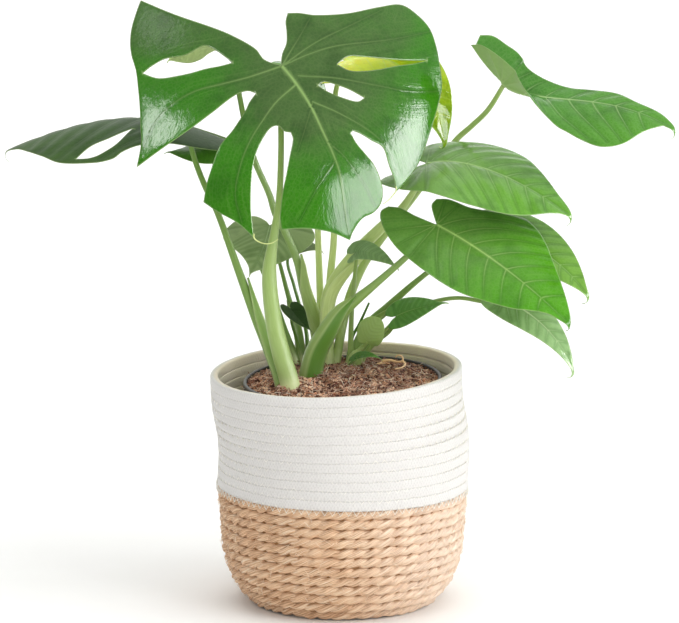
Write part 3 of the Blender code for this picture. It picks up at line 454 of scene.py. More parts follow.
def layered(tree, colour, *coats):
    """Lays coats of colour over one another. A coat is its share, its strength, its colour and, where it
    doesn't simply cover, the way it mixes."""
    for share, strength, over, *way in coats:
        if strength < 1:
            share = add(tree, "Math", {0: share, 1: strength}, operation="MULTIPLY")
        blend = way[0] if way else "MIX"
        colour = add(tree, "Mix", {0: share, 6: colour, 7: over}, 2, data_type="RGBA", blend_type=blend)
    return colour


def embossed(tree, *reliefs):
    """Presses reliefs over one another into a normal. Each is its height from 0 to 1, how deep it is in
    millimetres and its strength."""
    normal = {}
    for height, depth, strength in reliefs:
        feeds = {"Height": height, "Distance": depth * MM, "Strength": strength, **normal}
        normal = {"Normal": add(tree, "Bump", feeds)}
    return normal["Normal"]


def lengthwise(tree, rate):
    """The place round a strand and, at the rate, along it. Noise that is read there draws long lines."""
    ring = add(tree, "Attribute", output="Vector", attribute_name="ring")
    along = add(tree, "Attribute", output="Fac", attribute_name="along")
    down = add(tree, "Math", {0: along, 1: rate}, operation="MULTIPLY")
    return add(tree, "VectorMath", {0: ring, 1: add(tree, "CombineXYZ", {2: down})})


def leaf_cuticle(name, greens, dull, shine, relief):
    """Living leaf: a waxy cuticle over soft cells. It is glossy, its veins are paler and its margin is a thin
    pale line. The tone attribute runs from the dull middle, a painted sheen on the front blade, to the vivid
    outer part, and gap is the distance to a vein. relief, from 0 to 1, is how strongly lines and the painted
    shade of creases show."""
    middle, outer, vein, _ = greens
    material, tree, shader, place = new_material(name, dull)
    tone, gap, on_vein, edge = (
        add(tree, "Attribute", output="Fac", attribute_name=key) for key in ("tone", "gap", "vein", "edge"))
    mottle = add(tree, "TexNoise", {"Vector": place, "Scale": 1 / (9 * MM), "Detail": 3, "Roughness": 0.55})
    mottle = add(tree, "Math", {0: mottle, 1: 0.5, 2: -0.25}, operation="MULTIPLY_ADD")
    tone = add(tree, "Math", {0: tone, 1: mottle}, operation="ADD", use_clamp=True)
    # Lines that run beside the veins: the noise is read far faster across them than along them.
    faster = add(tree, "Math", {0: gap, 1: 16.0}, operation="MULTIPLY")
    vector = add(tree, "VectorMath", {0: place, 1: add(tree, "CombineXYZ", {0: faster})})
    lines = add(tree, "TexNoise", {"Vector": vector, "Scale": 1 / (30 * MM), "Detail": 4, "Roughness": 0.62})
    pale_lines, deep_lines = (
        add(tree, "MapRange", {0: lines, 1: 0.5, 2: full, 3: 0.0, 4: 0.1 * relief}) for full in (0.75, 0.25))
    # A fine net of veinlets, drawn at 4 mm, and painted shade in the crease on both sides of each vein.
    feeds = {"Vector": place, "Scale": 1 / (4 * MM)}
    net = add(tree, "TexVoronoi", feeds, "Distance", feature="DISTANCE_TO_EDGE")
    veinlet = add(tree, "MapRange", {0: net, 1: 0.0, 2: 0.2, 3: 0.07, 4: 0.0})
    painted_crease_shade = add(tree, "MapRange", {0: gap, 1: 0.4 * MM, 2: 3.4 * MM, 3: 0.55 * relief, 4: 0.0})
    # Older cells lie in broad patches of deeper green.
    patches = add(tree, "TexNoise", {"Vector": place, "Scale": 1 / (30 * MM), "Detail": 2, "Roughness": 0.55})
    patches = add(tree, "MapRange", {0: patches, 1: 0.5, 2: 0.68, 3: 0.0, 4: 0.42 * relief})
    colour = layered(
        tree, middle, (tone, 1, outer), (pale_lines, 1, vein), (deep_lines, 1, "16290c"), (veinlet, 1, vein),
        (painted_crease_shade, 1, "acc2a2", "MULTIPLY"), (patches, 1, "9cb48c", "MULTIPLY"), (on_vein, 1, vein),
        (edge, 0.45, "b3c98a"))
    # Epidermis cells are far finer than a millimetre. They are drawn at 1.3 mm so that they show.
    cells = add(tree, "TexNoise", {"Vector": place, "Scale": 1 / (1.3 * MM), "Detail": 2, "Roughness": 0.55})
    # Long shallow ripples run down the blade. They break up the mirror image of the windows.
    down = add(tree, "VectorMath", {0: place, 1: (1.0, 1.0, 0.3)}, operation="MULTIPLY")
    ripples = add(tree, "TexNoise", {"Vector": down, "Scale": 1 / (4.5 * MM), "Detail": 3, "Roughness": 0.55})
    haze = add(tree, "TexNoise", {"Vector": place, "Scale": 1 / (14 * MM), "Detail": 3, "Roughness": 0.55})
    feed(tree, shader, {
        "Base Color": colour,
        "Normal": embossed(tree, (cells, 0.06, 0.6), (lines, 0.24 * relief, 0.55), (ripples, 0.55, 0.5)),
        "Roughness": add(tree, "MapRange", {0: haze, 3: dull, 4: dull + 0.07}),
        "Specular IOR Level": shine,
    })
    return material


def lit_through(material):
    """Lets light that falls on a thin young blade's back come through to its face."""
    shader = material.node_tree.nodes["Principled BSDF"]
    scatter = {"Subsurface Weight": 0.6, "Subsurface Radius": (0.6, 1.0, 0.2), "Subsurface Scale": 3 * MM}
    feed(material.node_tree, shader, scatter)


def leaf_underside(name, colour):
    """The underside of a leaf: no gloss layer, so it is matt and paler, with pale ribs."""
    material, tree, shader, place = new_material(name, 0.55)
    mottle = add(tree, "TexNoise", {"Vector": place, "Scale": 1 / (5 * MM), "Detail": 3, "Roughness": 0.55})
    ribs = add(tree, "Attribute", output="Fac", attribute_name="vein")
    colour = layered(tree, colour, (mottle, 0.5, "a9bf86"), (ribs, 0.7, "b9cc93"))
    cells = add(tree, "TexNoise", {"Vector": place, "Scale": 1 / (1.6 * MM), "Detail": 3, "Roughness": 0.55})
    feed(tree, shader, {"Base Color": colour, "Normal": embossed(tree, (cells, 0.15, 0.5))})
    return material


def stem_skin():
    """Leaf stem: a juicy stalk with a smooth skin and fine lengthwise lines, paler at the soil."""
    material, tree, shader, _ = new_material("leaf_stem_skin", 0.36)
    tint, pale = (add(tree, "Attribute", output="Fac", attribute_name=key) for key in ("tint", "pale"))
    streak = add(tree, "TexNoise", {"Vector": lengthwise(tree, 12.0), "Scale": 5.0, "Detail": 4})
    colour = layered(
        tree, "3f7418", (tint, 1, "e2f2a8"), (streak, 0.55, "c4d48c", "SOFT_LIGHT"), (streak, 0.45, "587f26"),
        (pale, 1, "d2e0a4"))
    feed(tree, shader, {"Base Color": colour, "Normal": embossed(tree, (streak, 0.35, 0.6))})
    return material


def seagrass():
    """Seagrass rope: dried flat blades twisted by hand into plies, tan with straw-pale and brown blades, each
    with fine lengthwise fibres and a dull waxy face."""
    material, tree, shader, place = new_material("twisted_seagrass", 0.62)
    strand = lengthwise(tree, 14.0)
    streak = add(tree, "TexNoise", {"Vector": strand, "Scale": 3.2, "Detail": 4, "Roughness": 0.6})
    fine = add(tree, "TexNoise", {"Vector": strand, "Scale": 8.0, "Detail": 3, "Roughness": 0.7})
    lot = add(tree, "TexNoise", {"Vector": place, "Scale": 1 / (9 * MM), "Detail": 2, "Roughness": 0.55})
    ramp = add(tree, "ValToRGB", {0: streak})
    stops = ramp.node.color_ramp.elements
    stops[0].position, stops[0].color = 0.4, linear("9a683f")
    stops[1].position, stops[1].color = 0.66, linear("fff4e0")
    stops.new(0.47).color = linear("dcae86")
    stops.new(0.57).color = linear("f0d0ac")
    # The right side, which stands toward the light, is painted paler: painted light.
    side = add(tree, "SeparateXYZ", {0: place})
    painted_light_right = add(tree, "MapRange", {0: side, 1: 0.0, 2: 100 * MM, 3: 0.0, 4: 0.5})
    colour = layered(tree, ramp, (fine, 0.36, "ac7a50"), (lot, 0.5, "fad8b4"), (painted_light_right, 1, "fae8d6"))
    normal = embossed(tree, (streak, 1.4, 0.8), (fine, 0.7, 0.85))
    feed(tree, shader, {"Base Color": colour, "Normal": normal})
    return material


def cotton():
    """Braided cotton rope: a white jacket of soft yarns plaited round a core, matt, with a faint fuzz."""
    material, tree, shader, place = new_material("braided_cotton", 0.9)
    along, inside = (add(tree, "Attribute", output="Fac", attribute_name=key) for key in ("along", "inside"))
    ring = add(tree, "Attribute", output="Vector", attribute_name="ring")
    round_rope = add(tree, "SeparateXYZ", {0: ring}).node.outputs
    turn = add(tree, "Math", {0: round_rope["Y"], 1: round_rope["X"]}, operation="ARCTAN2")
    # Two sets of yarns cross at a slant. Real yarns are about 1 mm wide. They are drawn at 1.6 mm so that
    # they show.
    drift = add(tree, "TexNoise", {"Vector": place, "Scale": 1 / (6 * MM), "Detail": 3, "Roughness": 0.55})
    drift = add(tree, "Math", {0: drift, 1: 9.0}, operation="MULTIPLY")
    along = add(tree, "Math", {0: along, 1: 2 * math.pi / (3.2 * MM)}, operation="MULTIPLY")
    around = add(tree, "Math", {0: turn, 1: 5.0}, operation="MULTIPLY")
    around = add(tree, "Math", {0: around, 1: drift}, operation="ADD")
    slants = [add(tree, "Math", {0: along, 1: around}, operation=way) for way in ("ADD", "SUBTRACT")]
    one, two = (add(tree, "Math", {0: slant}, operation="SINE") for slant in slants)
    plait = add(tree, "Math", {0: one, 1: two}, operation="MAXIMUM")
    plait = add(tree, "Math", {0: plait, 1: 0.5, 2: 0.5}, operation="MULTIPLY_ADD")
    fuzz = add(tree, "TexNoise", {"Vector": place, "Scale": 1 / (1.6 * MM), "Detail": 4, "Roughness": 0.7})
    # The inner side is painted darker and warmer in soft patches: painted shade.
    painted_shade_patches = add(tree, "TexNoise", {"Vector": place, "Scale": 1 / (22 * MM), "Detail": 4, "Roughness": 0.65})
    painted_shade_patches = add(tree, "Math", {0: painted_shade_patches, 1: inside}, operation="MULTIPLY")
    # On the inner side the rope is mixed toward a warm cream: painted light bounced warm from the soil.
    colour = layered(
        tree, "cfccc9", (plait, 0.8, "e2e0dd"), (fuzz, 0.3, "dad7d2"), (painted_shade_patches, 1, "c6b898"),
        (inside, 0.8, "f3e4cc"))
    # Light wanders a little between the white fibres and softens the grooves.
    feed(tree, shader, {
        "Base Color": colour, "Normal": embossed(tree, (plait, 0.45, 0.5), (fuzz, 0.6, 0.5)),
        "Subsurface Weight": 0.35, "Subsurface Radius": (1.0, 1.0, 1.0), "Subsurface Scale": 2 * MM,
        "Sheen Weight": 0.25, "Sheen Roughness": 0.5,
    })
    return material


def plain_finish(name, colour, other, size_mm, roughness, bump_mm):
    """A finish of two colours in lumps of one size, with a bump as fine. Its calls say what it stands for."""
    material, tree, shader, place = new_material(name, roughness)
    size = size_mm * MM
    lumps = add(tree, "TexNoise", {"Vector": place, "Scale": 1 / size, "Detail": 4, "Roughness": 0.6})
    colour = layered(tree, colour, (lumps, 1, other))
    feed(tree, shader, {"Base Color": colour, "Normal": embossed(tree, (lumps, bump_mm, 0.8))})
    return material


def shaded_fibre(name, dark, mid, light, roughness):
    """Loose fibres and crumbs, each of its own shade by the shade attribute. They darken in patches, and
    toward
    the back they are painted darker: painted shade from the leaves above."""
    material, tree, shader, place = new_material(name, roughness)
    ramp = add(tree, "ValToRGB", {0: add(tree, "Attribute", output="Fac", attribute_name="shade")})
    stops = ramp.node.color_ramp.elements
    stops[0].position, stops[0].color = 0.2, linear(dark)
    stops[1].position, stops[1].color = 0.92, linear(light)
    stops.new(0.5).color = linear(mid)
    lumps = add(tree, "TexNoise", {"Vector": place, "Scale": 1 / (1.2 * MM), "Detail": 3, "Roughness": 0.55})
    patches = add(tree, "TexNoise", {"Vector": place, "Scale": 1 / (16 * MM), "Detail": 2, "Roughness": 0.55})
    patches = add(tree, "MapRange", {0: patches, 1: 0.4, 2: 0.54, 3: 0.5, 4: 0.0})
    # Painted shade: the fibres and crumbs darken toward the back, under the leaves.
    depth = add(tree, "SeparateXYZ", {0: place}, "Y")
    painted_shade_back = add(tree, "MapRange", {0: depth, 1: -20 * MM, 2: 60 * MM, 3: 0.0, 4: 0.55})
    colour = layered(tree, ramp, (lumps, 0.35, dark), (patches, 1, dark), (painted_shade_back, 1, dark))
    feed(tree, shader, {"Base Color": colour})
    return material


def pot_plastic():
    """Blow-moulded black polyethylene of a nursery pot: a satin skin with a haze, and a pale line painted on
    its rim edge as a painted highlight.
    """
    material, tree, shader, place = new_material("black_polyethylene", 0.42, 1.5)
    haze = add(tree, "TexNoise", {"Vector": place, "Scale": 1 / (3 * MM), "Detail": 3, "Roughness": 0.55})
    # A painted highlight: the rim's edge is painted pale grey.
    painted_rim_highlight = add(tree, "Attribute", output="Fac", attribute_name="painted_rim_highlight")
    colour = layered(tree, "141414", (haze, 1, "2a2927"), (painted_rim_highlight, 1, "55534e"))
    feed(tree, shader, {"Base Color": colour, "Normal": embossed(tree, (haze, 0.2, 0.3))})
    return material


# Meshes.


def dressed(piece, slot, *nodes):
    """Rides the piece on the one body and hides the model nodes that it stands for. slot is not used."""
    if nodes:
        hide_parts(*nodes)
    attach(piece, "root")
    return piece


def mesh_piece(name, points, faces, materials, values=None, slots=None):
    """A smooth mesh piece. values holds a number or a vector for each point, by attribute name."""
    mesh = bpy.data.meshes.new(name)
    mesh.from_pydata(np.asarray(points).tolist(), [], [list(map(int, f)) for f in faces])
    for key, numbers in (values or {}).items():
        numbers = np.asarray(numbers, np.float32)
        if numbers.ndim == 2:
            layer = mesh.attributes.new(key, "FLOAT_VECTOR", "POINT")
            layer.data.foreach_set("vector", numbers.ravel())
        else:
            layer = mesh.attributes.new(key, "FLOAT", "POINT")
            layer.data.foreach_set("value", numbers)
    mesh.shade_smooth()
    for material in materials:
        mesh.materials.append(material)
    if slots is not None:
        mesh.polygons.foreach_set("material_index", np.asarray(slots, np.int32))
    mesh.update()
    piece = bpy.data.objects.new(name, mesh)
    bpy.context.scene.collection.objects.link(piece)
    return piece


def smooth_line(points, step, closed=False, corner=60.0):
    """A smooth line through the points, sampled about every step. Turns past corner degrees stay sharp."""
    pts = [np.array(p, float) for p in points]
    count = len(pts)
    sharp = [False] * count
    for i in range(count):
        if not closed and i in (0, count - 1):
            continue
        a, b = pts[i] - pts[i - 1], pts[(i + 1) % count] - pts[i]
        turn = np.dot(a[:3], b[:3]) / (np.linalg.norm(a[:3]) * np.linalg.norm(b[:3]))
        sharp[i] = turn < math.cos(math.radians(corner))
    line = []
    for i in range(count if closed else count - 1):
        j = (i + 1) % count
        p1, p2 = pts[i], pts[j]
        gap = np.linalg.norm((p2 - p1)[:3])
        before = pts[i - 1] if (closed or i) and not sharp[i] else p1
        after = pts[(j + 1) % count] if (closed or j + 1 < count) and not sharp[j] else p2
        m1 = (p2 - before) * gap / np.linalg.norm((p2 - before)[:3])
        m2 = (after - p1) * gap / np.linalg.norm((after - p1)[:3])
        pieces = max(1, round(gap / step))
        for k in range(pieces):
            u = k / pieces
            line.append((2 * u**3 - 3 * u**2 + 1) * p1 + (u**3 - 2 * u**2 + u) * m1
                        + (3 * u**2 - 2 * u**3) * p2 + (u**3 - u**2) * m2)
    if not closed:
        line.append(pts[-1])
    return np.array(line)


def heart(length, width):
    """The outline of a small uncut blade, along its midrib and to its right."""
    half = width / 2
    right = [
        (-0.10 * length, 0.12 * half), (-0.20 * length, 0.38 * half), (-0.17 * length, 0.68 * half),
        (-0.04 * length, 0.90 * half), (0.14 * length, half), (0.36 * length, 0.90 * half),
        (0.60 * length, 0.62 * half), (0.80 * length, 0.30 * half), (0.92 * length, 0.10 * half),
    ]
    return [(0, 0)] + right + [(length, 0)] + [(s, -t) for s, t in reversed(right)]


def within(loop, points):
    """Which of the flat points lie in the closed loop."""
    x, y = points[:, 0], points[:, 1]
    hit = np.zeros(len(points), bool)
    for (x0, y0), (x1, y1) in zip(loop, np.roll(loop, -1, axis=0)):
        if y0 == y1:
            continue
        hit ^= ((y0 > y) != (y1 > y)) & (x < (x1 - x0) * (y - y0) / (y1 - y0) + x0)
    return hit


def nearest(starts, ends, points):
    """For each point, the distance to the nearest of the segments and which one that is."""
    best = np.full(len(points), np.inf)
    which = np.zeros(len(points), int)
    for index, (a, b) in enumerate(zip(starts, ends)):
        along = b - a
        t = np.clip((points - a) @ along / max(along @ along, 1e-12), 0, 1)
        gap = np.linalg.norm(points - a - t[:, None] * along, axis=1)
        closer = gap < best
        best[closer], which[closer] = gap[closer], index
    return best, which


def main_surface(flat):
    """Where the front blade's flat points lie: right and up as measured, and back by its lean and roll."""
    u, v = flat[:, 0], flat[:, 1]
    roll = np.where(u > 0, MAIN_ROLL_RIGHT, MAIN_ROLL_LEFT)
    back = MAIN_LEAN * v + MAIN_LEAN_GROWTH * v * v + roll * u * u
    return np.stack([MAIN_ATTACH[0] + u, MAIN_ATTACH[1] + back, MAIN_ATTACH[2] + v], -1)


def midrib_of(leaf, samples=160):
    """A blade's midrib as points, the length along it, its tangents and the way its face looks."""
    p = np.array(leaf["midrib"], float)
    u = np.linspace(0, 1, samples)[:, None]
    line = (1 - u)**3 * p[0] + 3 * (1 - u)**2 * u * p[1] + 3 * (1 - u) * u**2 * p[2] + u**3 * p[3]
    along = np.append(0, np.cumsum(np.linalg.norm(np.diff(line, axis=0), axis=1)))
    tangent = np.gradient(line, axis=0)
    share = along[:, None] / along[-1]
    base, tip = (np.array(face) / np.linalg.norm(face) for face in leaf["faces"])
    return line, along, tangent, base * (1 - share) + tip * share


def bent_surface(leaf, flat):
    """Where a blade's flat points lie, with each half lifted from the midrib and curled."""
    line, along, tangents, faces = midrib_of(leaf)
    s, t = flat[:, 0], flat[:, 1]
    on = np.clip(s, 0, along[-1])
    point, tangent, face = (
        np.stack([np.interp(on, along, values[:, axis]) for axis in range(3)], -1)
        for values in (line, tangents, faces)
    )
    tangent /= np.linalg.norm(tangent, axis=1)[:, None]
    right = np.cross(face, tangent)
    right /= np.linalg.norm(right, axis=1)[:, None]
    up_way = np.cross(tangent, right)
    on_right = t > 0
    at_base, at_tip, curl = (np.where(on_right, leaf["right"][k], leaf["left"][k]) for k in range(3))
    share = np.clip(s / leaf.get("reach", along[-1]), 0, 1)
    lift = np.radians(at_base + (at_tip - at_base) * share * share * (3 - 2 * share))
    bend = np.radians(curl) / (leaf["width"] / 2)
    out = (np.sin(lift + bend * abs(t)) - np.sin(lift)) / bend
    up = (np.cos(lift) - np.cos(lift + bend * abs(t))) / bend
    tip = max(p[0] for p in leaf["outline"]) if isinstance(leaf["outline"][0], tuple) else leaf["outline"][0]
    past = np.clip(s - (tip - TAIL_START * min(1.0, tip / 120)), 0, None)
    ahead = np.where(past > 0, TAIL_BEND * np.sin(past / TAIL_BEND) - past, 0) + s - on
    up = up - TAIL_BEND * (1 - np.cos(past / TAIL_BEND))
    return point + tangent * ahead[:, None] + right * (np.sign(t) * out)[:, None] + up_way * up[:, None]


def surface_of(name):
    """The function that bends the named blade's flat points into place."""
    if name == "blade_main":
        return main_surface
    return lambda flat: bent_surface(BLADES[name], flat)


def facing(surface, flat):
    """The unit normals of the bent blade at the flat points, on its upper face."""
    step = 0.4
    ahead = surface(flat + (step, 0)) - surface(flat - (step, 0))
    aside = surface(flat + (0, step)) - surface(flat - (0, step))
    way = np.cross(ahead, aside)
    return way / np.linalg.norm(way, axis=1)[:, None]


def plain_veins(outline):
    """The midrib and side veins of an uncut blade. Each runs from the midrib out and on toward the tip."""
    loop = np.array(outline, float)
    length, half = loop[:, 0].max(), np.ptp(loop[:, 1]) / 2
    big = min(1.6, max(0.35, length / 110))
    veins = [(big, 0.25 * big, [(0, 0), (0.5 * length, 0), (0.95 * length, 0)])]
    for side in (1, -1):
        for start in VEIN_STARTS:
            line = []
            for share in np.linspace(0, 1.15, 9):
                out = share * half
                line.append((start * length + 0.5 * out + 0.45 * out * out / half, side * out))
            veins.append((0.5 * big, 0.2 * big, line))
        for angle in BASE_VEIN_ANGLES:
            a = math.radians(angle)
            reach = np.linspace(0, 1.05 * half, 7)
            line = [(r * math.cos(a) - 0.0012 * r * r, side * r * math.sin(a)) for r in reach]
            veins.append((0.5 * big, 0.2 * big, line))
    return veins


def with_tail(outline):
    """The outline with the thin drip tail that its tip ends in."""
    tip = max(range(len(outline)), key=lambda i: outline[i][0])
    length = outline[tip][0]
    tail = DRIP_TAIL * min(1.0, length / 120)
    narrow = 0.9 * min(1.0, length / 100)
    right = 1 if outline[tip - 1][1] > outline[(tip + 1) % len(outline)][1] else -1
    end = [(length, right * narrow * 1.5), (length + 0.6 * tail, right * narrow), (length + tail, 0)]
    end += [(length + 0.6 * tail, -right * narrow), (length, -right * narrow * 1.5)]
    return [*outline[:tip], *end, *outline[tip + 1:]]


def on_blade(loops, points):
    """Which of the flat points lie on the blade, inside its outline and outside its holes."""
    inside = within(loops[0], points)
    for hole in loops[1:]:
        inside &= ~within(hole, points)
    return inside


def trimmed_vein(line, loops, step):
    """The vein's points at a fine step, up to where it leaves the blade or nears its margin."""
    fine = smooth_line(line, step, corner=180)
    edge_a = np.concatenate(loops)
    edge_b = np.concatenate([np.roll(loop, -1, axis=0) for loop in loops])
    gap, _ = nearest(edge_a, edge_b, fine)
    good = on_blade(loops, fine) & (gap > 1.6)
    good[:2] = True
    stop = np.argmin(good) if not good.all() else len(good)
    return fine[:stop]


def blade_mesh(name):
    """A blade's flat points and triangles, with its veins' distance and width and its margin's distance."""
    if name == "blade_main":
        outline, holes, veins = MAIN_OUTLINE, MAIN_HOLES, MAIN_VEINS
    else:
        leaf = BLADES[name]
        outline = leaf["outline"]
        if not isinstance(outline[0], tuple):
            outline = heart(*outline)
        holes, veins = leaf.get("holes", ()), plain_veins(outline)
        outline = with_tail(outline)
    longest = max(np.ptp(np.array(outline, float), axis=0))
    step = min(2.4, max(0.7, longest / 70))
    loops = [smooth_line(loop, step, closed=True, corner=52) for loop in (outline, *holes)]
    edge_a = np.concatenate(loops)
    edge_b = np.concatenate([np.roll(loop, -1, axis=0) for loop in loops])
    margin = min(MARGIN_WIDTH, 0.55 * step)
    lines = [(a, b, trimmed_vein(line, loops, step * 0.8)) for a, b, line in veins]
    lines = [item for item in lines if len(item[2]) > 3]
    starts = np.concatenate([line[:-1] for _, _, line in lines])
    ends = np.concatenate([line[1:] for _, _, line in lines])
    widths = np.concatenate([np.linspace(a, b, len(line) - 1) for a, b, line in lines])
    rails = []
    for a, b, line in lines:
        way = np.gradient(line, axis=0)
        way /= np.linalg.norm(way, axis=1)[:, None]
        across = np.stack([-way[:, 1], way[:, 0]], -1) * np.linspace(a, b, len(line))[:, None]
        rails += [line, line + across, line - across, line + 2.4 * across, line - 2.4 * across]
    inset = []
    for loop in loops:
        way = np.roll(loop, -1, axis=0) - np.roll(loop, 1, axis=0)
        way /= np.maximum(np.linalg.norm(way, axis=1), 1e-9)[:, None]
        inward = np.stack([-way[:, 1], way[:, 0]], -1) * margin
        inset += [loop + inward, loop - inward]
    x = np.arange(edge_a[:, 0].min(), edge_a[:, 0].max(), step)
    y = np.arange(edge_a[:, 1].min(), edge_a[:, 1].max(), step * 0.87)
    lattice = np.array([(px + (row % 2) * step / 2, py) for row, py in enumerate(y) for px in x])
    lattice = lattice[nearest(starts, ends, lattice)[0] > 0.75 * step]
    lattice = lattice[nearest(edge_a, edge_b, lattice)[0] > margin + 0.5 * step]
    rail_points = np.concatenate(rails)
    rail_points = rail_points[nearest(edge_a, edge_b, rail_points)[0] > margin + 0.4]
    inset_points = np.concatenate(inset)
    inset_points = inset_points[nearest(edge_a, edge_b, inset_points)[0] > 0.85 * margin]
    free = np.concatenate([rail_points, inset_points, lattice])
    free = free[on_blade(loops, free)]
    _, first = np.unique(np.round(free / (0.22 * step)), axis=0, return_index=True)
    free = free[np.sort(first)]
    edges, begin = [], 0
    for loop in loops:
        edges += [(begin + i, begin + (i + 1) % len(loop)) for i in range(len(loop))]
        begin += len(loop)
    points = [Vector(p) for p in np.concatenate([edge_a, free])]
    flat, _, triangles, *_ = delaunay_2d_cdt(points, edges, [], 0, 1e-5)
    flat = np.array([tuple(p) for p in flat])
    triangles = np.array([tuple(t) for t in triangles])
    triangles = triangles[on_blade(loops, flat[triangles].mean(axis=1))]
    gap, which = nearest(starts, ends, flat)
    rim, _ = nearest(edge_a, edge_b, flat)
    return flat, triangles, gap, widths[which], rim, margin, longest


def eased(share):
    """A share from 0 to 1 that starts and ends softly."""
    share = np.clip(share, 0, 1)
    return share * share * (3 - 2 * share)


def blade_piece(name):
    """A fine blade: bent as its node, quilted between its veins, ribbed below and thinned at its margin."""
    flat, triangles, gap, width, rim, margin, longest = blade_mesh(name)
    surface = surface_of(name)
    place, normal = surface(flat), facing(surface, flat)
    # The upper face of the front blade looks to the front, and those of the others look up.
    looks_away = normal[:, 1].mean() > 0 if name == "blade_main" else normal[:, 2].mean() < 0
    if looks_away:
        normal = -normal
    size = min(1.0, longest / 150)
    depth = QUILT_DEPTH["main"] if name == "blade_main" else QUILT_DEPTH["other"]
    quilt = depth * size * (eased(gap / (9 * size)) - 0.7) * eased(rim / (5 * size + 1))
    # The pale lines of the veins fade toward the margin, on thin veins and on small blades.
    on_vein = np.clip(1.25 - gap / width, 0, 1) * np.clip(rim / 2, 0, 1)
    on_vein = on_vein * np.clip(1.5 * width / width.max() - 0.22, 0.15, 1) * min(1.0, longest / 100)
    rib = np.clip(1 - (gap / (1.25 * width)) ** 2, 0, 1) * width
    half = BLADE_THICKNESS / 2 * (0.45 + 0.55 * eased(rim / (1.5 * margin)))
    top = place + normal * (quilt + half + 0.25 * rib)[:, None]
    low = place + normal * (quilt - half - 0.8 * rib * np.clip(rim / 3, 0, 1))[:, None]
    count = len(flat)
    a, b, c = (place[triangles[:, k]] for k in range(3))
    turned = np.einsum("ij,ij->i", np.cross(b - a, c - a), normal[triangles[:, 0]]) < 0
    triangles[turned] = triangles[turned][:, ::-1]
    sides = np.concatenate([triangles[:, [0, 1]], triangles[:, [1, 2]], triangles[:, [2, 0]]])
    keys = {tuple(edge) for edge in sides.tolist()}
    border = sorted((a, b) for a, b in keys if (b, a) not in keys)
    faces = triangles.tolist() + (triangles[:, ::-1] + count).tolist()
    faces += [(b, a, a + count, b + count) for a, b in border]
    slots = [0] * len(triangles) + [1] * len(triangles) + [0] * len(border)
    edge = np.clip(1.1 - rim / (0.8 * margin), 0, 1)
    values = {"vein": on_vein, "gap": gap * MM, "tone": tone_of(name, flat), "edge": edge}
    values = {key: np.tile(numbers, 2) for key, numbers in values.items()}
    young = name in YOUNG_LEAVES
    dull, shine = DULL_LEAVES.get(name, LEAF_GLOSS)
    face = leaf_cuticle(name + "_cuticle", LEAF_GREENS[name], dull, shine, YOUNG_RELIEF if young else 1.0)
    if young:
        lit_through(face)
    underside = leaf_underside(name + "_underside", LEAF_GREENS[name][3])
    points = np.concatenate([top, low]) * MM
    piece = mesh_piece("fine_" + name, points, faces, [face, underside], values, slots)
    return dressed(piece, "young_leaf" if young else "leaf", name)


def tone_of(name, flat):
    """From 0 in the dull middle of a blade to 1 in its vivid outer part. On the front blade the dull middle
    and the dull top are painted sheen, a grey veil of reflected light.
    """
    if name == "blade_main":
        away = np.linalg.norm((flat - (28, -18)) * (0.8, 1.0), axis=1)
        # Painted sheen: the upper part of the front blade is kept dull grey-green.
        painted_sheen_top = eased((flat[:, 1] + 8) / 30) * (1 - eased((flat[:, 0] - 112) / 40))
        return eased((away - 32) / 62) * (1 - 0.75 * painted_sheen_top)
    length = flat[:, 0].max()
    return eased(1.2 * flat[:, 0] / length + 0.25 * abs(flat[:, 1]) / abs(flat[:, 1]).max() - 0.1)


# Stems.


def frames_along(line):
    """Unit tangents and two unit directions across the line, turned as little as can be along it."""
    tangent = np.gradient(line, axis=0)
    tangent /= np.linalg.norm(tangent, axis=1)[:, None]
    side = np.cross(tangent[0], (0.0, 1.0, 0.0))
    sides = []
    for way in tangent:
        side = side - way * (side @ way)
        side /= np.linalg.norm(side)
        sides.append(side)
    sides = np.array(sides)
    return tangent, sides, np.cross(tangent, sides)


def skin(line, radii, sides, groove=0.0):
    """A closed round tube's points, faces and ring places, in millimetres, grooved along its upper side."""
    _, right, back = frames_along(line)
    angles = np.linspace(0, 2 * math.pi, sides, endpoint=False)
    circle = np.stack([np.cos(angles), np.sin(angles)], -1)
    dip = 1 - groove * np.exp(-((np.minimum(angles, 2 * math.pi - angles)) / 0.5) ** 2)
    rings = line[:, None, :] + radii[:, None, None] * (
        circle[None, :, :1] * right[:, None, :] + circle[None, :, 1:] * back[:, None, :]) * dip[None, :, None]
    points = rings.reshape(-1, 3)
    faces = []
    for i in range(len(line) - 1):
        for k in range(sides):
            m = (k + 1) % sides
            faces.append((i * sides + k, i * sides + m, (i + 1) * sides + m, (i + 1) * sides + k))
    faces.append(tuple(range(sides))[::-1])
    faces.append(tuple((len(line) - 1) * sides + k for k in range(sides)))
    ring = np.tile(np.append(circle, np.zeros((sides, 1)), axis=1), (len(line), 1))
    return points, faces, ring


def stem_line(leaf, points):
    """The stem's fine centre line and radii, from below the soil to just under its blade."""
    x, y, z, radius = points[0]
    points = [(x, y, z - STEM_DEPTH + 2, radius), *points]
    if leaf in LEAF_GREENS:
        surface = surface_of(leaf)
        spot = np.array([(3.0, 0.0)])
        place, way = surface(spot)[0], facing(surface, spot)[0]
        last = np.array(points[-1][:3])
        if way @ (last - place) < 0:
            way = -way
        tip = points[-1][3] * 0.85
        points.append((*(place + way * (0.4 + 0.5 * tip)), tip))
    line = smooth_line(points, 3.5, corner=180)
    return line[:, :3], line[:, 3]


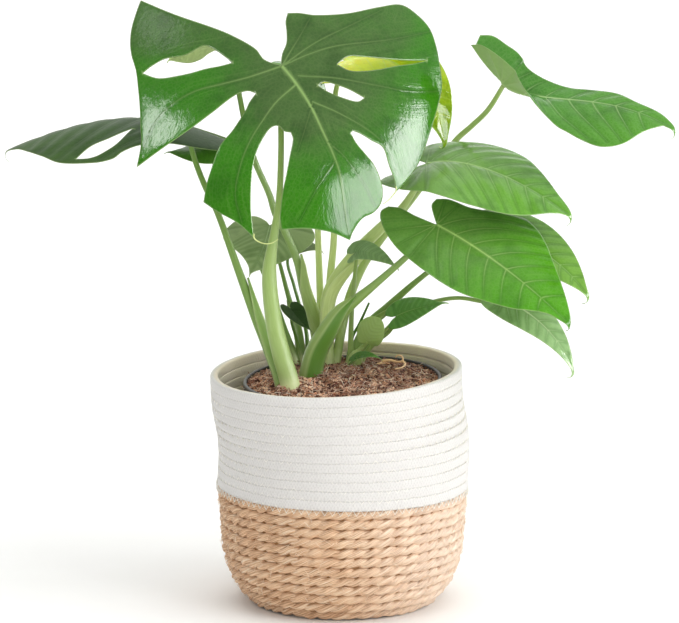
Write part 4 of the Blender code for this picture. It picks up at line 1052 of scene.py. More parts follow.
def sheath(line, radii, start, end, side, half_angle, keel, free):
    """A leaf sheath's points, faces, rings, heights and places across it: a keeled wing that wraps the stem
    and narrows to a pointed tip, which stands off from it."""
    _, right, back = frames_along(line)
    along = np.append(0, np.cumsum(np.linalg.norm(np.diff(line, axis=0), axis=1))) - STEM_DEPTH
    spots = np.linspace(start, end, SHEATH_ROWS)
    centre, right, back = (
        np.stack([np.interp(spots, along, values[:, k]) for k in range(3)], -1)
        for values in (line, right, back)
    )
    radius = np.interp(spots, along, radii)
    share = (spots - start) / (end - start)
    spread = np.radians(half_angle) * np.clip(1 - share ** 2.4, 0.02, 1)
    across = np.linspace(-1, 1, SHEATH_COLUMNS)
    ridge = keel * np.clip(1 - abs(across) * 1.6, 0, 1)
    shells = []
    for shell in (0, 1):
        angle = np.radians(side) + spread[:, None] * across[None, :]
        lift = ridge[None, :] * (0.3 + 0.7 * share[:, None]) + 0.9 * across[None, :] ** 2
        lift = lift + free * share[:, None] ** 3
        r = radius[:, None] + 0.25 + lift + SHEATH_THICKNESS * shell
        shells.append(centre[:, None, :] + r[..., None] * (
            np.cos(angle)[..., None] * right[:, None, :] + np.sin(angle)[..., None] * back[:, None, :]))
    rows, columns = SHEATH_ROWS, SHEATH_COLUMNS
    points = np.concatenate([shell.reshape(-1, 3) for shell in shells])
    size = rows * columns
    faces = []
    for i in range(rows - 1):
        for k in range(columns - 1):
            a, d = i * columns + k, (i + 1) * columns + k
            b, c = a + 1, d + 1
            faces += [(d, c, b, a), (a + size, b + size, c + size, d + size)]
        for k, turn in ((0, False), (columns - 1, True)):
            a, d = i * columns + k, (i + 1) * columns + k
            quad = (a, a + size, d + size, d)
            faces.append(quad[::-1] if turn else quad)
    for i, turn in ((0, True), (rows - 1, False)):
        for k in range(columns - 1):
            a, b = i * columns + k, i * columns + k + 1
            quad = (a, a + size, b + size, b)
            faces.append(quad[::-1] if turn else quad)
    ring = np.zeros((2 * size, 3))
    ring[:, 0] = np.tile(np.tile(np.cos(across * 2), rows), 2)
    ring[:, 1] = np.tile(np.tile(np.sin(across * 2), rows), 2)
    height = np.tile(np.repeat(spots, columns), 2)
    return points, faces, ring, height, np.tile(np.tile(across, rows), 2)


def stem_pieces(skin_material):
    """Each crown's stems and sheaths as one piece."""
    for crown, stems in CROWNS.items():
        points, faces = [], []
        values = {"ring": [], "along": [], "tint": [], "pale": []}

        def put(new_points, new_faces, ring, along, tint, pale):
            """Adds a stem's or a sheath's points, faces and values to the crown's."""
            begin = sum(len(p) for p in points)
            points.append(new_points)
            faces.extend(tuple(i + begin for i in face) for face in new_faces)
            for key, numbers in (("ring", ring), ("along", along * MM), ("tint", tint), ("pale", pale)):
                values[key].append(numbers)

        for leaf, knots in stems.items():
            line, radii = stem_line(leaf, knots)
            sides = 20 if radii.max() > 4 else 12
            skin_points, skin_faces, ring = skin(line, radii, sides, 0.1 if leaf != "blade_main" else 0.04)
            along = np.append(0, np.cumsum(np.linalg.norm(np.diff(line, axis=0), axis=1)))
            height = np.repeat(along - STEM_DEPTH, sides)
            tint = STEM_TINTS[leaf] * (1.05 - 0.25 * eased((height - 120) / 160))
            pale = 0.9 * np.exp(-np.clip(height - 3, 0, None) / 6)
            put(skin_points, skin_faces, ring, height, tint, pale)
            if leaf in SHEATHS:
                *shape, first, second = SHEATHS[leaf]
                new_points, new_faces, ring, height, across = sheath(line, radii, *shape)
                # Painted light and shade: one half of the sheath is tinted lighter, the other darker.
                tint = first + (second - first) * eased(0.5 + across / 0.3)
                pale = 0.5 * abs(across) ** 8 + 0.35 * np.clip(1 - abs(across) / 0.06, 0, 1)
                put(new_points, new_faces, ring, height, tint, pale)
        piece = mesh_piece("fine_" + crown, np.concatenate(points) * MM, faces, [skin_material],
                           {key: np.concatenate(numbers) for key, numbers in values.items()})
        dressed(piece, "leaf_stem", crown)


# Geometry Nodes.


def new_tree(name, numbers):
    """A Geometry Nodes tree with its named inputs, and its input node's outputs."""
    tree = bpy.data.node_groups.new(name, "GeometryNodeTree")
    tree.interface.new_socket("Geometry", in_out="INPUT", socket_type="NodeSocketGeometry")
    kinds = {int: "NodeSocketInt", float: "NodeSocketFloat", bpy.types.Material: "NodeSocketMaterial"}
    for label, value in numbers.items():
        socket = tree.interface.new_socket(label, in_out="INPUT", socket_type=kinds[type(value)])
        if not isinstance(value, bpy.types.Material):
            socket.default_value = value
    tree.interface.new_socket("Geometry", in_out="OUTPUT", socket_type="NodeSocketGeometry")
    return tree, add(tree, "NodeGroupInput").node.outputs


def finish_tree(tree, geometry, material):
    """Ends the tree in smooth, real geometry with its material."""
    smooth = add(tree, "GeometryNodeSetShadeSmooth", {"Geometry": geometry})
    real = add(tree, "GeometryNodeRealizeInstances", {"Geometry": smooth})
    done = add(tree, "GeometryNodeSetMaterial", {"Geometry": real, "Material": material})
    add(tree, "NodeGroupOutput", {0: done})


def grown(name, carrier, tree, numbers):
    """The plain mesh piece that the tree makes on the carrier, which is then removed."""
    modifier = carrier.modifiers.new(name, "NODES")
    modifier.node_group = tree
    for item in tree.interface.items_tree:
        if item.item_type == "SOCKET" and item.in_out == "INPUT" and item.name in numbers:
            modifier[item.identifier] = numbers[item.name]
    graph = bpy.context.evaluated_depsgraph_get()
    mesh = bpy.data.meshes.new_from_object(carrier.evaluated_get(graph))
    bpy.data.objects.remove(carrier, do_unlink=True)
    mesh.name = name
    piece = bpy.data.objects.new(name, mesh)
    bpy.context.scene.collection.objects.link(piece)
    return piece


def wobble(tree, size_mm, amount):
    """A vector of smooth noise about zero, up to about the amount."""
    colour = add(tree, "TexNoise", {"Scale": 1 / (size_mm * MM), "Detail": 2}, "Color")
    centred = add(tree, "VectorMath", {0: colour, 1: (0.5, 0.5, 0.5)}, operation="SUBTRACT")
    return add(tree, "VectorMath", {0: centred, "Scale": amount}, operation="SCALE")


def paced_rings(tree, given):
    """The carrier's rings, held upright, with a point at each step that keeps its distance along its ring.
    With them go each point's share of its ring and the ring's length."""
    feeds = {"Curve": given["Geometry"], "Length": given["Step"]}
    paced = add(tree, "GeometryNodeResampleCurve", feeds, mode="LENGTH")
    upright = add(tree, "GeometryNodeSetCurveNormal", {"Curve": paced}, mode="Z_UP")
    share = add(tree, "GeometryNodeSplineParameter", output="Factor")
    length = add(tree, "GeometryNodeSplineLength", output="Length")
    along = add(tree, "Math", {0: share, 1: length}, operation="MULTIPLY")
    feeds = {"Geometry": upright, "Name": "along", "Value": along}
    return add(tree, "GeometryNodeStoreNamedAttribute", feeds), share, length


def swept(tree, line, profile, **feeds):
    """The profile swept along the line. Each point keeps its direction from the profile's middle."""
    place = add(tree, "GeometryNodeInputPosition")
    unit = add(tree, "VectorMath", {0: place}, operation="NORMALIZE")
    kept = {"Geometry": profile, "Name": "ring", "Value": unit}
    marked = add(tree, "GeometryNodeStoreNamedAttribute", kept, data_type="FLOAT_VECTOR")
    return add(tree, "GeometryNodeCurveToMesh", {"Curve": line, "Profile Curve": marked, **feeds})


def fluted(tree, circle):
    """The circle with every third point drawn in, so that a strand along it shows its own grass blades."""
    index = add(tree, "GeometryNodeInputIndex")
    count = add(tree, "Math", {0: index, 1: 3.0}, operation="MODULO")
    third = add(tree, "FunctionNodeCompare", {0: count, 1: 0.5}, operation="LESS_THAN")
    place = add(tree, "GeometryNodeInputPosition")
    inward = add(tree, "VectorMath", {0: place, "Scale": 0.86}, operation="SCALE")
    return add(tree, "GeometryNodeSetPosition", {"Geometry": circle, "Position": inward, "Selection": third})


def rope_tree(material):
    """Twisted rope on each ring of the carrier: two plump, uneven plies that wind round its line."""
    tree, given = new_tree("twisted_rope", {
        "Step": 2.4 * MM, "Lay": ROPE_LAY * MM, "Offset": PLY_OFFSET * MM, "Ply": PLY_RADIUS * MM,
        "Sides": 11, "Material": material})
    rings, share, length = paced_rings(tree, given)
    turns = add(tree, "Math", {0: length, 1: given["Lay"]}, operation="DIVIDE")
    turns = add(tree, "Math", {0: turns}, operation="ROUND")
    # The section itself turns a whole number of times too, so that each ring closes without a step.
    spins = add(tree, "Math", {0: turns, 1: 0.3}, operation="MULTIPLY")
    spins = add(tree, "Math", {0: spins}, operation="ROUND")
    parts = [add(tree, "Math", {0: share, 1: whole}, operation="MULTIPLY") for whole in (turns, spins)]
    turn, spin = (add(tree, "Math", {0: part, 1: -2 * math.pi}, operation="MULTIPLY") for part in parts)
    normal = add(tree, "GeometryNodeInputNormal")
    tangent = add(tree, "GeometryNodeInputTangent")
    across = add(tree, "VectorMath", {0: tangent, 1: normal}, operation="CROSS_PRODUCT")
    plies = add(tree, "GeometryNodeJoinGeometry")
    for phase in (0.0, math.pi):
        angle = add(tree, "Math", {0: turn, 1: phase}, operation="ADD")
        shifts = []
        for way, wave in ((normal, "COSINE"), (across, "SINE")):
            reach = add(tree, "Math", {0: angle}, operation=wave)
            reach = add(tree, "Math", {0: reach, 1: given["Offset"]}, operation="MULTIPLY")
            shifts.append(add(tree, "VectorMath", {0: way, "Scale": reach}, operation="SCALE"))
        round_line = add(tree, "VectorMath", {0: shifts[0], 1: shifts[1]})
        offset = add(tree, "VectorMath", {0: round_line, 1: wobble(tree, 13.0, 2.6 * MM)})
        wound = add(tree, "GeometryNodeSetPosition", {"Geometry": rings, "Offset": offset})
        spun = add(tree, "GeometryNodeSetCurveTilt", {"Curve": wound, "Tilt": spin})
        lumps = add(tree, "TexNoise", {"Scale": 1 / (11 * MM), "Detail": 1})
        plump = add(tree, "Math", {0: lumps, 1: 0.84, 2: 0.58}, operation="MULTIPLY_ADD")
        feeds = {"Resolution": given["Sides"], "Radius": given["Ply"]}
        circle = add(tree, "GeometryNodeCurvePrimitiveCircle", feeds)
        feed(tree, plies.node, {0: swept(tree, spun, fluted(tree, circle), Scale=plump)})
    finish_tree(tree, plies, given["Material"])
    return tree


def coil_tree(material):
    """Cotton rope on each ring of the carrier: a soft pressed section with gentle unevenness."""
    numbers = {"Step": 4.2 * MM, "Width": BASKET_WALL * MM, "Height": 10.6 * MM, "Round": 2.1 * MM}
    tree, given = new_tree("cotton_coil", {**numbers, "Material": material})
    rings, _, _ = paced_rings(tree, given)
    uneven = add(tree, "GeometryNodeSetPosition", {"Geometry": rings, "Offset": wobble(tree, 60.0, 1.6 * MM)})
    feeds = {"Width": given["Width"], "Height": given["Height"]}
    box = add(tree, "GeometryNodeCurvePrimitiveQuadrilateral", feeds)
    feeds = {"Curve": box, "Radius": given["Round"], "Count": 4}
    rounded = add(tree, "GeometryNodeFilletCurve", feeds, mode="POLY")
    finish_tree(tree, swept(tree, uneven, rounded), given["Material"])
    return tree


def stitch_tree(material):
    """A zigzag of sewing thread on each ring of the carrier, its corners up and down by turns."""
    numbers = {"Leg": 4.5 * MM, "Reach": 2.6 * MM, "Thread": THREAD_RADIUS * MM}
    tree, given = new_tree("zigzag_stitch", {**numbers, "Material": material})
    feeds = {"Curve": given["Geometry"], "Length": given["Leg"]}
    paced = add(tree, "GeometryNodeResampleCurve", feeds, mode="LENGTH")
    odd = add(tree, "Math", {0: add(tree, "GeometryNodeInputIndex"), 1: 2.0}, operation="MODULO")
    side = add(tree, "Math", {0: odd, 1: 2.0, 2: -1.0}, operation="MULTIPLY_ADD")
    rise = add(tree, "Math", {0: side, 1: given["Reach"]}, operation="MULTIPLY")
    up = add(tree, "CombineXYZ", {2: rise})
    zigzag = add(tree, "GeometryNodeSetPosition", {"Geometry": paced, "Offset": up})
    circle = add(tree, "GeometryNodeCurvePrimitiveCircle", {"Resolution": 5, "Radius": given["Thread"]})
    tube = add(tree, "GeometryNodeCurveToMesh", {"Curve": zigzag, "Profile Curve": circle})
    finish_tree(tree, tube, given["Material"])
    return tree


def strewn(tree, spots, thing, turn, size):
    """The thing laid on each spot with its turn and size, as real geometry, each with a shade of its own."""
    feeds = {"Points": spots, "Instance": thing, "Rotation": turn, "Scale": size}
    laid = add(tree, "GeometryNodeInstanceOnPoints", feeds)
    shade = add(tree, "FunctionNodeRandomValue", {2: 0.0, 3: 1.0, "Seed": 9}, 1)
    feeds = {"Geometry": laid, "Name": "shade", "Value": shade}
    shaded = add(tree, "GeometryNodeStoreNamedAttribute", feeds, domain="INSTANCE")
    return add(tree, "GeometryNodeRealizeInstances", {"Geometry": shaded})


def fibre_tree(material):
    """Loose curved fibres that lie on the carrier's faces, each bent and shaded its own way."""
    tree, given = new_tree("loose_fibres", {
        "Density": 60000.0, "Seed": 1, "Length": 10 * MM, "Thick": 0.35 * MM, "Bend": 6 * MM, "Stand": 0.5,
        "Material": material})
    feeds = {"Mesh": given["Geometry"], "Density": given["Density"], "Seed": given["Seed"]}
    spots = add(tree, "GeometryNodeDistributePointsOnFaces", feeds)
    hair = add(tree, "GeometryNodeCurvePrimitiveLine", {"Start": (-0.5, 0, 0), "End": (0.5, 0, 0)})
    jointed = add(tree, "GeometryNodeResampleCurve", {"Curve": hair, "Count": 6}, mode="COUNT")
    low, high = (-0.5, -0.5, 0.0), (0.5, 0.5, FULL_TURN)
    spin = add(tree, "FunctionNodeRandomValue", {0: low, 1: high, "Seed": 3}, data_type="FLOAT_VECTOR")
    tip = add(tree, "CombineXYZ", {0: given["Stand"], 1: given["Stand"], 2: 1.0})
    tilt = add(tree, "VectorMath", {0: spin, 1: tip}, operation="MULTIPLY")
    turn = add(tree, "FunctionNodeRotateEuler", {0: spots.node.outputs["Rotation"], 1: tilt}, space="LOCAL")
    share = add(tree, "FunctionNodeRandomValue", {2: 0.35, 3: 1.0, "Seed": 5}, 1)
    size = add(tree, "Math", {0: share, 1: given["Length"]}, operation="MULTIPLY")
    real = strewn(tree, spots, jointed, turn, add(tree, "CombineXYZ", {0: size, 1: size, 2: size}))
    bend = wobble(tree, 5.0, given["Bend"])
    bent = add(tree, "GeometryNodeSetPosition", {"Geometry": real, "Offset": bend})
    profile = add(tree, "GeometryNodeCurvePrimitiveCircle", {"Resolution": 3, "Radius": given["Thick"]})
    tube = add(tree, "GeometryNodeCurveToMesh", {"Curve": bent, "Profile Curve": profile, "Fill Caps": True})
    finish_tree(tree, tube, given["Material"])
    return tree


def crumb_tree(material):
    """Crumbs of soil pith strewn on the carrier's faces, each an uneven lump."""
    numbers = {"Density": 60000.0, "Seed": 2, "Size": 2.2 * MM}
    tree, given = new_tree("soil_crumbs", {**numbers, "Material": material})
    feeds = {"Mesh": given["Geometry"], "Density": given["Density"], "Seed": given["Seed"]}
    spots = add(tree, "GeometryNodeDistributePointsOnFaces", feeds)
    lump = add(tree, "GeometryNodeMeshIcoSphere", {"Radius": 1.0, "Subdivisions": 1})
    share = add(tree, "FunctionNodeRandomValue", {2: 0.3, 3: 1.0, "Seed": 6}, 1)
    size = add(tree, "Math", {0: share, 1: given["Size"]}, operation="MULTIPLY")
    low, high = (0.5, 0.5, 0.4), (1.3, 1.0, 0.9)
    shape = add(tree, "FunctionNodeRandomValue", {0: low, 1: high, "Seed": 7}, data_type="FLOAT_VECTOR")
    shape = add(tree, "VectorMath", {0: shape, "Scale": size}, operation="SCALE")
    high = (FULL_TURN, FULL_TURN, FULL_TURN)
    turn = add(tree, "FunctionNodeRandomValue", {0: (0, 0, 0), 1: high, "Seed": 8}, data_type="FLOAT_VECTOR")
    real = strewn(tree, spots, lump, turn, shape)
    rough = add(tree, "GeometryNodeSetPosition", {"Geometry": real, "Offset": wobble(tree, 1.4, 1.4 * MM)})
    finish_tree(tree, rough, given["Material"])
    return tree


# Basket, pot and soil.


def basket_radius(z):
    """The outer radius at a height: a flat foot, a rounded corner and a wall that widens a little."""
    if z >= CORNER_HEIGHT:
        share = min(1.0, (z - CORNER_HEIGHT) / (SEAM_HEIGHT - CORNER_HEIGHT))
        return CORNER_RADIUS + (BASKET_RADIUS - CORNER_RADIUS) * share
    drop = 1 - z / CORNER_HEIGHT
    return FOOT_RADIUS + (CORNER_RADIUS - FOOT_RADIUS) * math.sqrt(max(0.0, 1 - drop * drop))


def wall_lean(z):
    """How far the soft upper wall stands to the right of the basket's middle at a height."""
    heights, shifts = zip(*WALL_LEAN)
    return float(np.interp(z, heights, shifts))


def rim_rise(x, y, z):
    """How far a point of the wall stands above its level place, in millimetres: the rim and seam tilt."""
    share = min(1.0, max(0.0, (z - SEAM_HEIGHT) / (BASKET_HEIGHT - SEAM_HEIGHT)))
    near_seam = min(z / SEAM_HEIGHT, 1 - share)
    return share * (RIM_RISE_RIGHT * x + RIM_RISE_BACK * y) + near_seam * SEAM_RISE_LEFT * (BASKET_RADIUS - x)


def pot_rise(x, y, z):
    """How far a point of the tilted pot stands above its level place, in millimetres."""
    share = min(1.0, max(0.0, z / POT_RIM_HEIGHT))
    return share * (POT_RIM_DROP / 2 / POT_RIM_RADIUS * x + POT_RIM_DROP / POT_RIM_RADIUS * y)


def ring_carrier(name, rings, sides=120):
    """A curve with a closed ring for each radius and height, started at the back, out of sight."""
    curve = bpy.data.curves.new(name, "CURVE")
    curve.dimensions = "3D"
    for radius, height in rings:
        spline = curve.splines.new("POLY")
        spline.points.add(sides - 1)
        spline.use_cyclic_u = True
        for k, point in enumerate(spline.points):
            angle = math.pi / 2 + 2 * math.pi * k / sides
            x, y = radius * math.cos(angle) + wall_lean(height), radius * math.sin(angle)
            point.co = (x * MM, y * MM, (height + rim_rise(x, y, height)) * MM, 1)
    carrier = bpy.data.objects.new(name, curve)
    bpy.context.scene.collection.objects.link(carrier)
    return carrier


def turned_piece(name, profile, sides, rise, materials, values=None):
    """A surface of revolution of a closed profile of (radius, height), each point raised by rise(x, y, z)."""
    count = len(profile)
    points, faces = [], []
    for k in range(sides):
        angle = 2 * math.pi * k / sides
        for radius, z in profile:
            x, y = radius * math.cos(angle), radius * math.sin(angle)
            points.append((x * MM, y * MM, (z + rise(x, y, z)) * MM))
    for k in range(sides):
        m = (k + 1) % sides
        for i in range(count):
            j = (i + 1) % count
            faces.append((k * count + i, m * count + i, m * count + j, k * count + j))
    values = {key: np.tile(numbers, sides) for key, numbers in (values or {}).items()}
    piece = mesh_piece(name, points, faces, materials, values)
    work = bmesh.new()
    work.from_mesh(piece.data)
    bmesh.ops.remove_doubles(work, verts=work.verts, dist=1e-7)
    bmesh.ops.recalc_face_normals(work, faces=work.faces)
    work.to_mesh(piece.data)
    work.free()
    return piece


def seagrass_pieces():
    """The lower wall and base of seagrass rope, the lining behind them and the strips that they shed."""
    grass = seagrass()
    rope = rope_tree(grass)
    rope_radius = PLY_OFFSET + PLY_RADIUS
    pitch = (SEAM_HEIGHT - LOWEST_ROW) / SEAGRASS_ROWS
    heights = [LOWEST_ROW + (row + 0.5) * pitch for row in range(SEAGRASS_ROWS)]
    rows = [(basket_radius(z) - rope_radius + ROPE_BULGE, z) for z in heights]
    wall = grown("seagrass_wall", ring_carrier("rows", rows), rope, {"Material": grass})
    dressed(wall, "seagrass_rope", "basket_seagrass")
    base_rows = [(radius, rope_radius + 0.4) for radius in np.arange(FOOT_RADIUS - 9, 3, -BASE_PITCH)]
    base = grown("seagrass_base", ring_carrier("base_rows", base_rows), rope, {"Material": grass, "Sides": 8})
    dressed(base, "seagrass_rope")
    # The lining is the same dried grass, painted darker brown as painted shade, matt, where it shows between
    # the rows.
    shade = plain_finish("seagrass_lining", "8c643e", "ab8258", 4.0, 0.9, 0.8)
    inside_foot = LINING_FOOT + LINING_WALL
    outer = [(basket_radius(z) - LINING_DEPTH, z) for z in np.linspace(LINING_FOOT, SEAM_HEIGHT, 16)]
    inner = [(r - LINING_WALL, max(z, inside_foot)) for r, z in reversed(outer)]
    profile = [(0.5, LINING_FOOT)] + outer + inner + [(0.5, inside_foot)]
    dressed(turned_piece("seagrass_backing", profile, 96, rim_rise, [shade]), "seagrass_rope")
    # Seagrass sheds thin pale strips where the twist has caught them. They lie on the rope or stand off it.
    strips = shaded_fibre("loose_seagrass_strip", "e0b890", "f6dfc2", "fff6e6", 0.7)
    skirt = [(basket_radius(z) + 0.6, z) for z in np.linspace(12.0, SEAM_HEIGHT - 3, 14)]
    skirt += [(r - 0.4, z) for r, z in reversed(skirt)]
    carrier = turned_piece("skirt", skirt, 96, rim_rise, [strips])
    sizes = {"Density": 3600.0, "Length": 10 * MM, "Thick": 0.22 * MM, "Bend": 4 * MM, "Stand": 0.35}
    wisps = grown("seagrass_wisps", carrier, fibre_tree(strips), {**sizes, "Material": strips})
    dressed(wisps, "seagrass_rope")


def cotton_pieces():
    """The upper wall of coiled cotton rope, and the zigzag stitches between its rows and along the seam."""
    yarn = cotton()
    # Polyester sewing thread: fine, smooth and cream, a little brighter than the rope.
    thread = plain_finish("polyester_thread", "efeade", "fffdf6", 2.0, 0.6, 0.1)
    pitch = (BASKET_HEIGHT - SEAM_HEIGHT) / COTTON_ROWS
    middle = BASKET_RADIUS - BASKET_WALL / 2
    rows = [(middle, SEAM_HEIGHT + (row + 0.5) * pitch) for row in range(COTTON_ROWS)]
    coils = grown("cotton_wall", ring_carrier("rows", rows), coil_tree(yarn), {"Material": yarn})
    mark_inside(coils)
    dressed(coils, "cotton_rope", "basket_cotton")
    grooves = [(BASKET_RADIUS - 0.5, SEAM_HEIGHT + row * pitch) for row in range(1, COTTON_ROWS)]
    sewing = stitch_tree(thread)
    stitches = grown("cotton_stitches", ring_carrier("grooves", grooves, 180), sewing, {"Material": thread})
    dressed(stitches, "cotton_rope")
    seam = ring_carrier("seam", [(BASKET_RADIUS + 0.6, SEAM_HEIGHT - 1.5)], 180)
    wide = {"Material": thread, "Leg": 3.9 * MM, "Reach": 3.1 * MM}
    dressed(grown("seam_stitches", seam, sewing, wide), "cotton_rope")


def mark_inside(piece):
    """Marks the points of the basket's inner side, which is painted with patches of shade and a warm light
    bounced from the soil.
    """
    count = len(piece.data.vertices)
    place = np.empty(count * 3, np.float32)
    piece.data.vertices.foreach_get("co", place)
    place = place.reshape(-1, 3) / MM
    lean = np.array([wall_lean(z) for z in place[:, 2]])
    reach = np.hypot(place[:, 0] - lean, place[:, 1])
    layer = piece.data.attributes.new("inside", "FLOAT", "POINT")
    layer.data.foreach_set("value", eased((BASKET_RADIUS - 3.6 - reach) / 3).astype(np.float32))


def pot_piece():
    """The nursery pot with its rolled rim, whose edge carries a pale painted highlight."""
    foot = BASKET_WALL + 0.3
    top = POT_RIM_HEIGHT
    profile = [
        (0.4, foot), (POT_FOOT_RADIUS - 1, foot), (POT_FOOT_RADIUS, foot + 1), (POT_TOP_RADIUS, top - 8),
        (POT_RIM_RADIUS - 0.6, top - 7), (POT_RIM_RADIUS, top - 5.5), (POT_RIM_RADIUS, top - 1.6),
        (POT_RIM_RADIUS - 0.5, top - 0.4), (POT_RIM_RADIUS - 1.6, top),
        (POT_TOP_RADIUS - POT_WALL + 0.6, top - 0.2), (POT_TOP_RADIUS - POT_WALL, top - 1.2),
        (POT_TOP_RADIUS - POT_WALL, top - 8),
        (POT_FOOT_RADIUS - POT_WALL, foot + POT_WALL), (0.4, foot + POT_WALL),
    ]
    # How strongly each point of the profile is painted with the pale rim highlight.
    painted_rim_highlight = [0.0] * 5 + [0.1, 0.55, 0.95, 0.6, 0.15, 0.0] + [0.0] * 3
    piece = turned_piece("pot_with_rolled_rim", profile, 144, pot_rise, [pot_plastic()], {"painted_rim_highlight": painted_rim_highlight})
    dressed(piece, "black_plastic", "nursery_pot")


def soil_top(x, y):
    """The soil's level at a point, before its lumps."""
    reach = min(1.0, math.hypot(x, y) / POT_TOP_RADIUS)
    heap = math.hypot(x - HEAP_CENTRE[0], y - HEAP_CENTRE[1]) / HEAP_REACH
    z = SOIL_EDGE_HEIGHT + SOIL_MOUND * (1 - reach ** 2)
    z += HEAP_HEIGHT * math.exp(-heap ** 2) * (1 - reach ** 8)
    return z + pot_rise(x, y, z)


def soil_mesh():
    """The bed's points and faces, and how many of its points lie on its lumpy top."""
    edge = POT_TOP_RADIUS - POT_WALL - 0.9
    draw = random.Random(7)
    rings, sides = 46, 150
    points = [(0, 0, soil_top(0, 0))]
    for ring in range(1, rings + 1):
        radius = edge * ring / rings
        for k in range(sides):
            angle = 2 * math.pi * (k + 0.5 * (ring % 2)) / sides
            x, y = radius * math.cos(angle), radius * math.sin(angle)
            spot = Vector((x / SOIL_LUMP, y / SOIL_LUMP, 0.3))
            lump = SOIL_LUMP_HEIGHT * fractal(spot, 0.9, 2.1, 4)
            rough = SOIL_FILL + (lump + draw.uniform(-0.5, 0.5)) * min(1.0, (rings - ring) / 4)
            points.append((x, y, soil_top(x, y) + rough))
    foot = len(points)
    for k in range(sides):
        angle = 2 * math.pi * k / sides
        x, y = SOIL_FOOT_RADIUS * math.cos(angle), SOIL_FOOT_RADIUS * math.sin(angle)
        points.append((x, y, SOIL_FOOT_HEIGHT))
    points.append((0, 0, SOIL_FOOT_HEIGHT))
    faces = []
    for k in range(sides):
        m = (k + 1) % sides
        faces.append((0, 1 + k, 1 + m))
        for ring in range(1, rings):
            a, b = 1 + (ring - 1) * sides, 1 + ring * sides
            if ring % 2:
                faces += [(a + k, b + m, a + m), (a + k, b + k, b + m)]
            else:
                faces += [(a + k, b + k, a + m), (b + k, b + m, a + m)]
        last = 1 + (rings - 1) * sides
        faces += [(last + k, foot + k, foot + m, last + m), (len(points) - 1, foot + m, foot + k)]
    return np.array(points) * MM, faces, foot


def soil_pieces():
    """Coir soil: a dark lumpy bed with crumbs and fibres strewn over it."""
    # Damp coir: matt, dark and brown, seen only between the crumbs and fibres that lie on it.
    bed = plain_finish("damp_coir", "331c12", "94705a", 2.4, 0.95, 1.2)
    points, faces, foot = soil_mesh()
    dressed(mesh_piece("soil_bed", points, faces, [bed]), "coir_soil", "soil")
    top_faces = [face for face in faces if max(face) < foot]
    fibre_ground, crumb_ground = (mesh_piece("soil_top", points[:foot], top_faces, [bed]) for _ in range(2))
    # Coir: husk fibres and pith. The fibres are wiry, red-brown to tan, and the crumbs are darker and duller.
    coir = shaded_fibre("coir_fibre", "7c4430", "ffc8a4", "fff2dc", 0.7)
    pith = shaded_fibre("coir_pith", "4a2a1e", "da9a74", "ffd8b4", 0.95)
    fibres = grown("soil_fibres", fibre_ground, fibre_tree(coir),
                   {"Material": coir, "Density": 105000.0, "Length": 21 * MM, "Thick": 0.42 * MM})
    dressed(fibres, "coir_soil")
    crumbs = grown("soil_crumbs", crumb_ground, crumb_tree(pith),
                   {"Material": pith, "Density": 120000.0, "Size": 2.6 * MM})
    dressed(crumbs, "coir_soil")


def strands(lines, sides):
    """The points, in metres, and faces of several round strands, each a line and its radii in millimetres."""
    points, faces = [], []
    for line, radii in lines:
        new_points, new_faces, _ = skin(line, radii, sides)
        begin = sum(map(len, points))
        points.append(new_points)
        faces += [tuple(i + begin for i in face) for face in new_faces]
    return np.concatenate(points) * MM, faces


def root_piece():
    """Dry husk roots on the soil: a straight one and one that curls up at its end."""
    # Dry root: tan wood with a paler peeling skin, matt.
    tan = plain_finish("dry_root", "f2b274", "ffe6b8", 3.0, 0.6, 0.2)
    lines = []
    for radius, knots in DRY_ROOTS:
        line = smooth_line(knots, 1.2, corner=180)
        lines.append((line, radius * (1 - 0.6 * np.linspace(0, 1, len(line)))))
    dressed(mesh_piece("dry_roots", *strands(lines, 7), [tan]), "coir_soil")


def tail_piece():
    """The thin curled drip tails that two lobes of the front leaf end in."""
    # Young leaf tissue: yellow-green, thin and a little glossy.
    pale = plain_finish("drip_tail", "a9b84f", "dde6a4", 3.0, 0.4, 0.1)
    lines = []
    for knots in DRIP_TAILS:
        line = main_surface(np.array([knot[:2] for knot in knots], float))
        line[:, 1] += [knot[2] for knot in knots]
        line = smooth_line(line, 1.5, corner=180)
        lines.append((line, TAIL_RADIUS * (1 - 0.55 * np.linspace(0, 1, len(line)))))
    dressed(mesh_piece("drip_tails", *strands(lines, 8), [pale]), "leaf")


# Stage, camera and lights.


def aimed(obj, place, target):
    """Puts a light in the scene at its place, turned to its target."""
    obj.location = place
    obj.rotation_euler = (Vector(target) - Vector(place)).to_track_quat("-Z", "Y").to_euler()
    bpy.context.scene.collection.objects.link(obj)
    return obj


def softbox(name, place, target, width, height, power):
    """A studio softbox that lights the matt surfaces and leaves no mirror image of itself."""
    light = bpy.data.lights.new(name, "AREA")
    light.shape = "RECTANGLE"
    light.size, light.size_y, light.energy = width, height, power
    box = aimed(bpy.data.objects.new(name, light), place, target)
    box.visible_camera = box.visible_glossy = False
    return box


def gloss_window(name, turn, rise, distance, width, height, power):
    """A bright window that shows in glossy faces, turned to the right and raised by its degrees."""
    turn, rise = math.radians(turn), math.radians(rise)
    level = distance * math.cos(rise)
    x, y, z = WINDOW_TARGET
    place = (x + level * math.sin(turn), y - level * math.cos(turn), z + distance * math.sin(rise))
    box = softbox(name, place, WINDOW_TARGET, width, height, power)
    box.visible_glossy, box.visible_diffuse = True, False
    return box


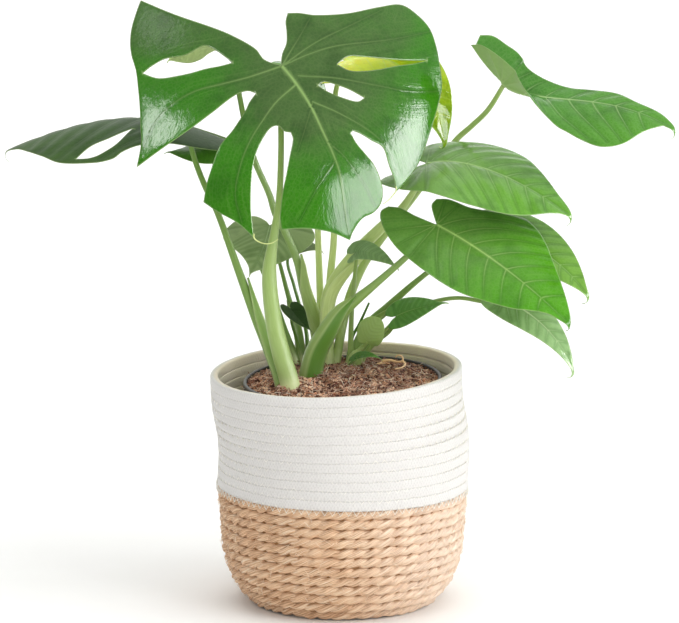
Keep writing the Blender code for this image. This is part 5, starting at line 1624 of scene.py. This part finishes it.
def studio_air(scene):
    """The light of the room: white, brighter from above and from the right."""
    world = bpy.data.worlds.new("studio_air")
    world.use_nodes = True
    tree = world.node_tree
    way = add(tree, "SeparateXYZ", {0: add(tree, "TexCoord", output="Generated")}).node.outputs
    above = add(tree, "MapRange", {0: way["Z"], 1: 0.25, 2: 0.75, 3: 0.42, 4: 0.8})
    right = add(tree, "MapRange", {0: way["X"], 1: -1.0, 2: 1.0, 3: 0.76, 4: 1.2})
    strength = add(tree, "Math", {0: above, 1: right}, operation="MULTIPLY")
    feed(tree, tree.nodes["Background"], {"Strength": strength, "Color": "ffffff"})
    scene.world = world


def build_studio():
    """A plain pale floor that sweeps up into a backdrop, soft light and the camera."""
    scene = bpy.context.scene
    scene.view_settings.view_transform = "Standard"
    # Studio paper: matt and almost white, so that the floor fades into the backdrop.
    paper = plain_finish("studio_paper", "f6f6f4", "f9f9f8", 60.0, 0.95, 0.02)
    bend = [(FLOOR_BACK + SWEEP_RADIUS * math.sin(a), SWEEP_RADIUS * (1 - math.cos(a)))
            for a in np.linspace(0, math.pi / 2, 16)]
    profile = [(FLOOR_FRONT, 0.0), *bend, (FLOOR_BACK + SWEEP_RADIUS, BACKDROP_HEIGHT)]
    points = [(x, y, z) for y, z in profile for x in (-FLOOR_SIDE, FLOOR_SIDE)]
    faces = [(2 * i, 2 * i + 1, 2 * i + 3, 2 * i + 2) for i in range(len(profile) - 1)]
    mesh_piece("studio_sweep", points, faces, [paper])
    studio_air(scene)
    for name, row in SOFTBOXES.items():
        softbox(name, *row)
    for name, row in GLOSS_WINDOWS.items():
        gloss_window(name, *row)
    camera = bpy.data.objects.new("camera", bpy.data.cameras.new("camera"))
    camera.data.sensor_width = SENSOR_WIDTH
    camera.data.lens = FOCAL_PIXELS / PHOTO_WIDTH_PIXELS * SENSOR_WIDTH
    camera.data.clip_end = 100.0
    camera.location = CAMERA_PLACE
    camera.rotation_euler = (math.radians(90 - CAMERA_DIP), 0, 0)
    scene.collection.objects.link(camera)
    scene.camera = camera


def main():
    """Builds the studio, the basket with its pot and soil, and the plant's stems and blades."""
    build_studio()
    seagrass_pieces()
    cotton_pieces()
    pot_piece()
    soil_pieces()
    root_piece()
    tail_piece()
    stem_pieces(stem_skin())
    for name in LEAF_GREENS:
        blade_piece(name)


main()
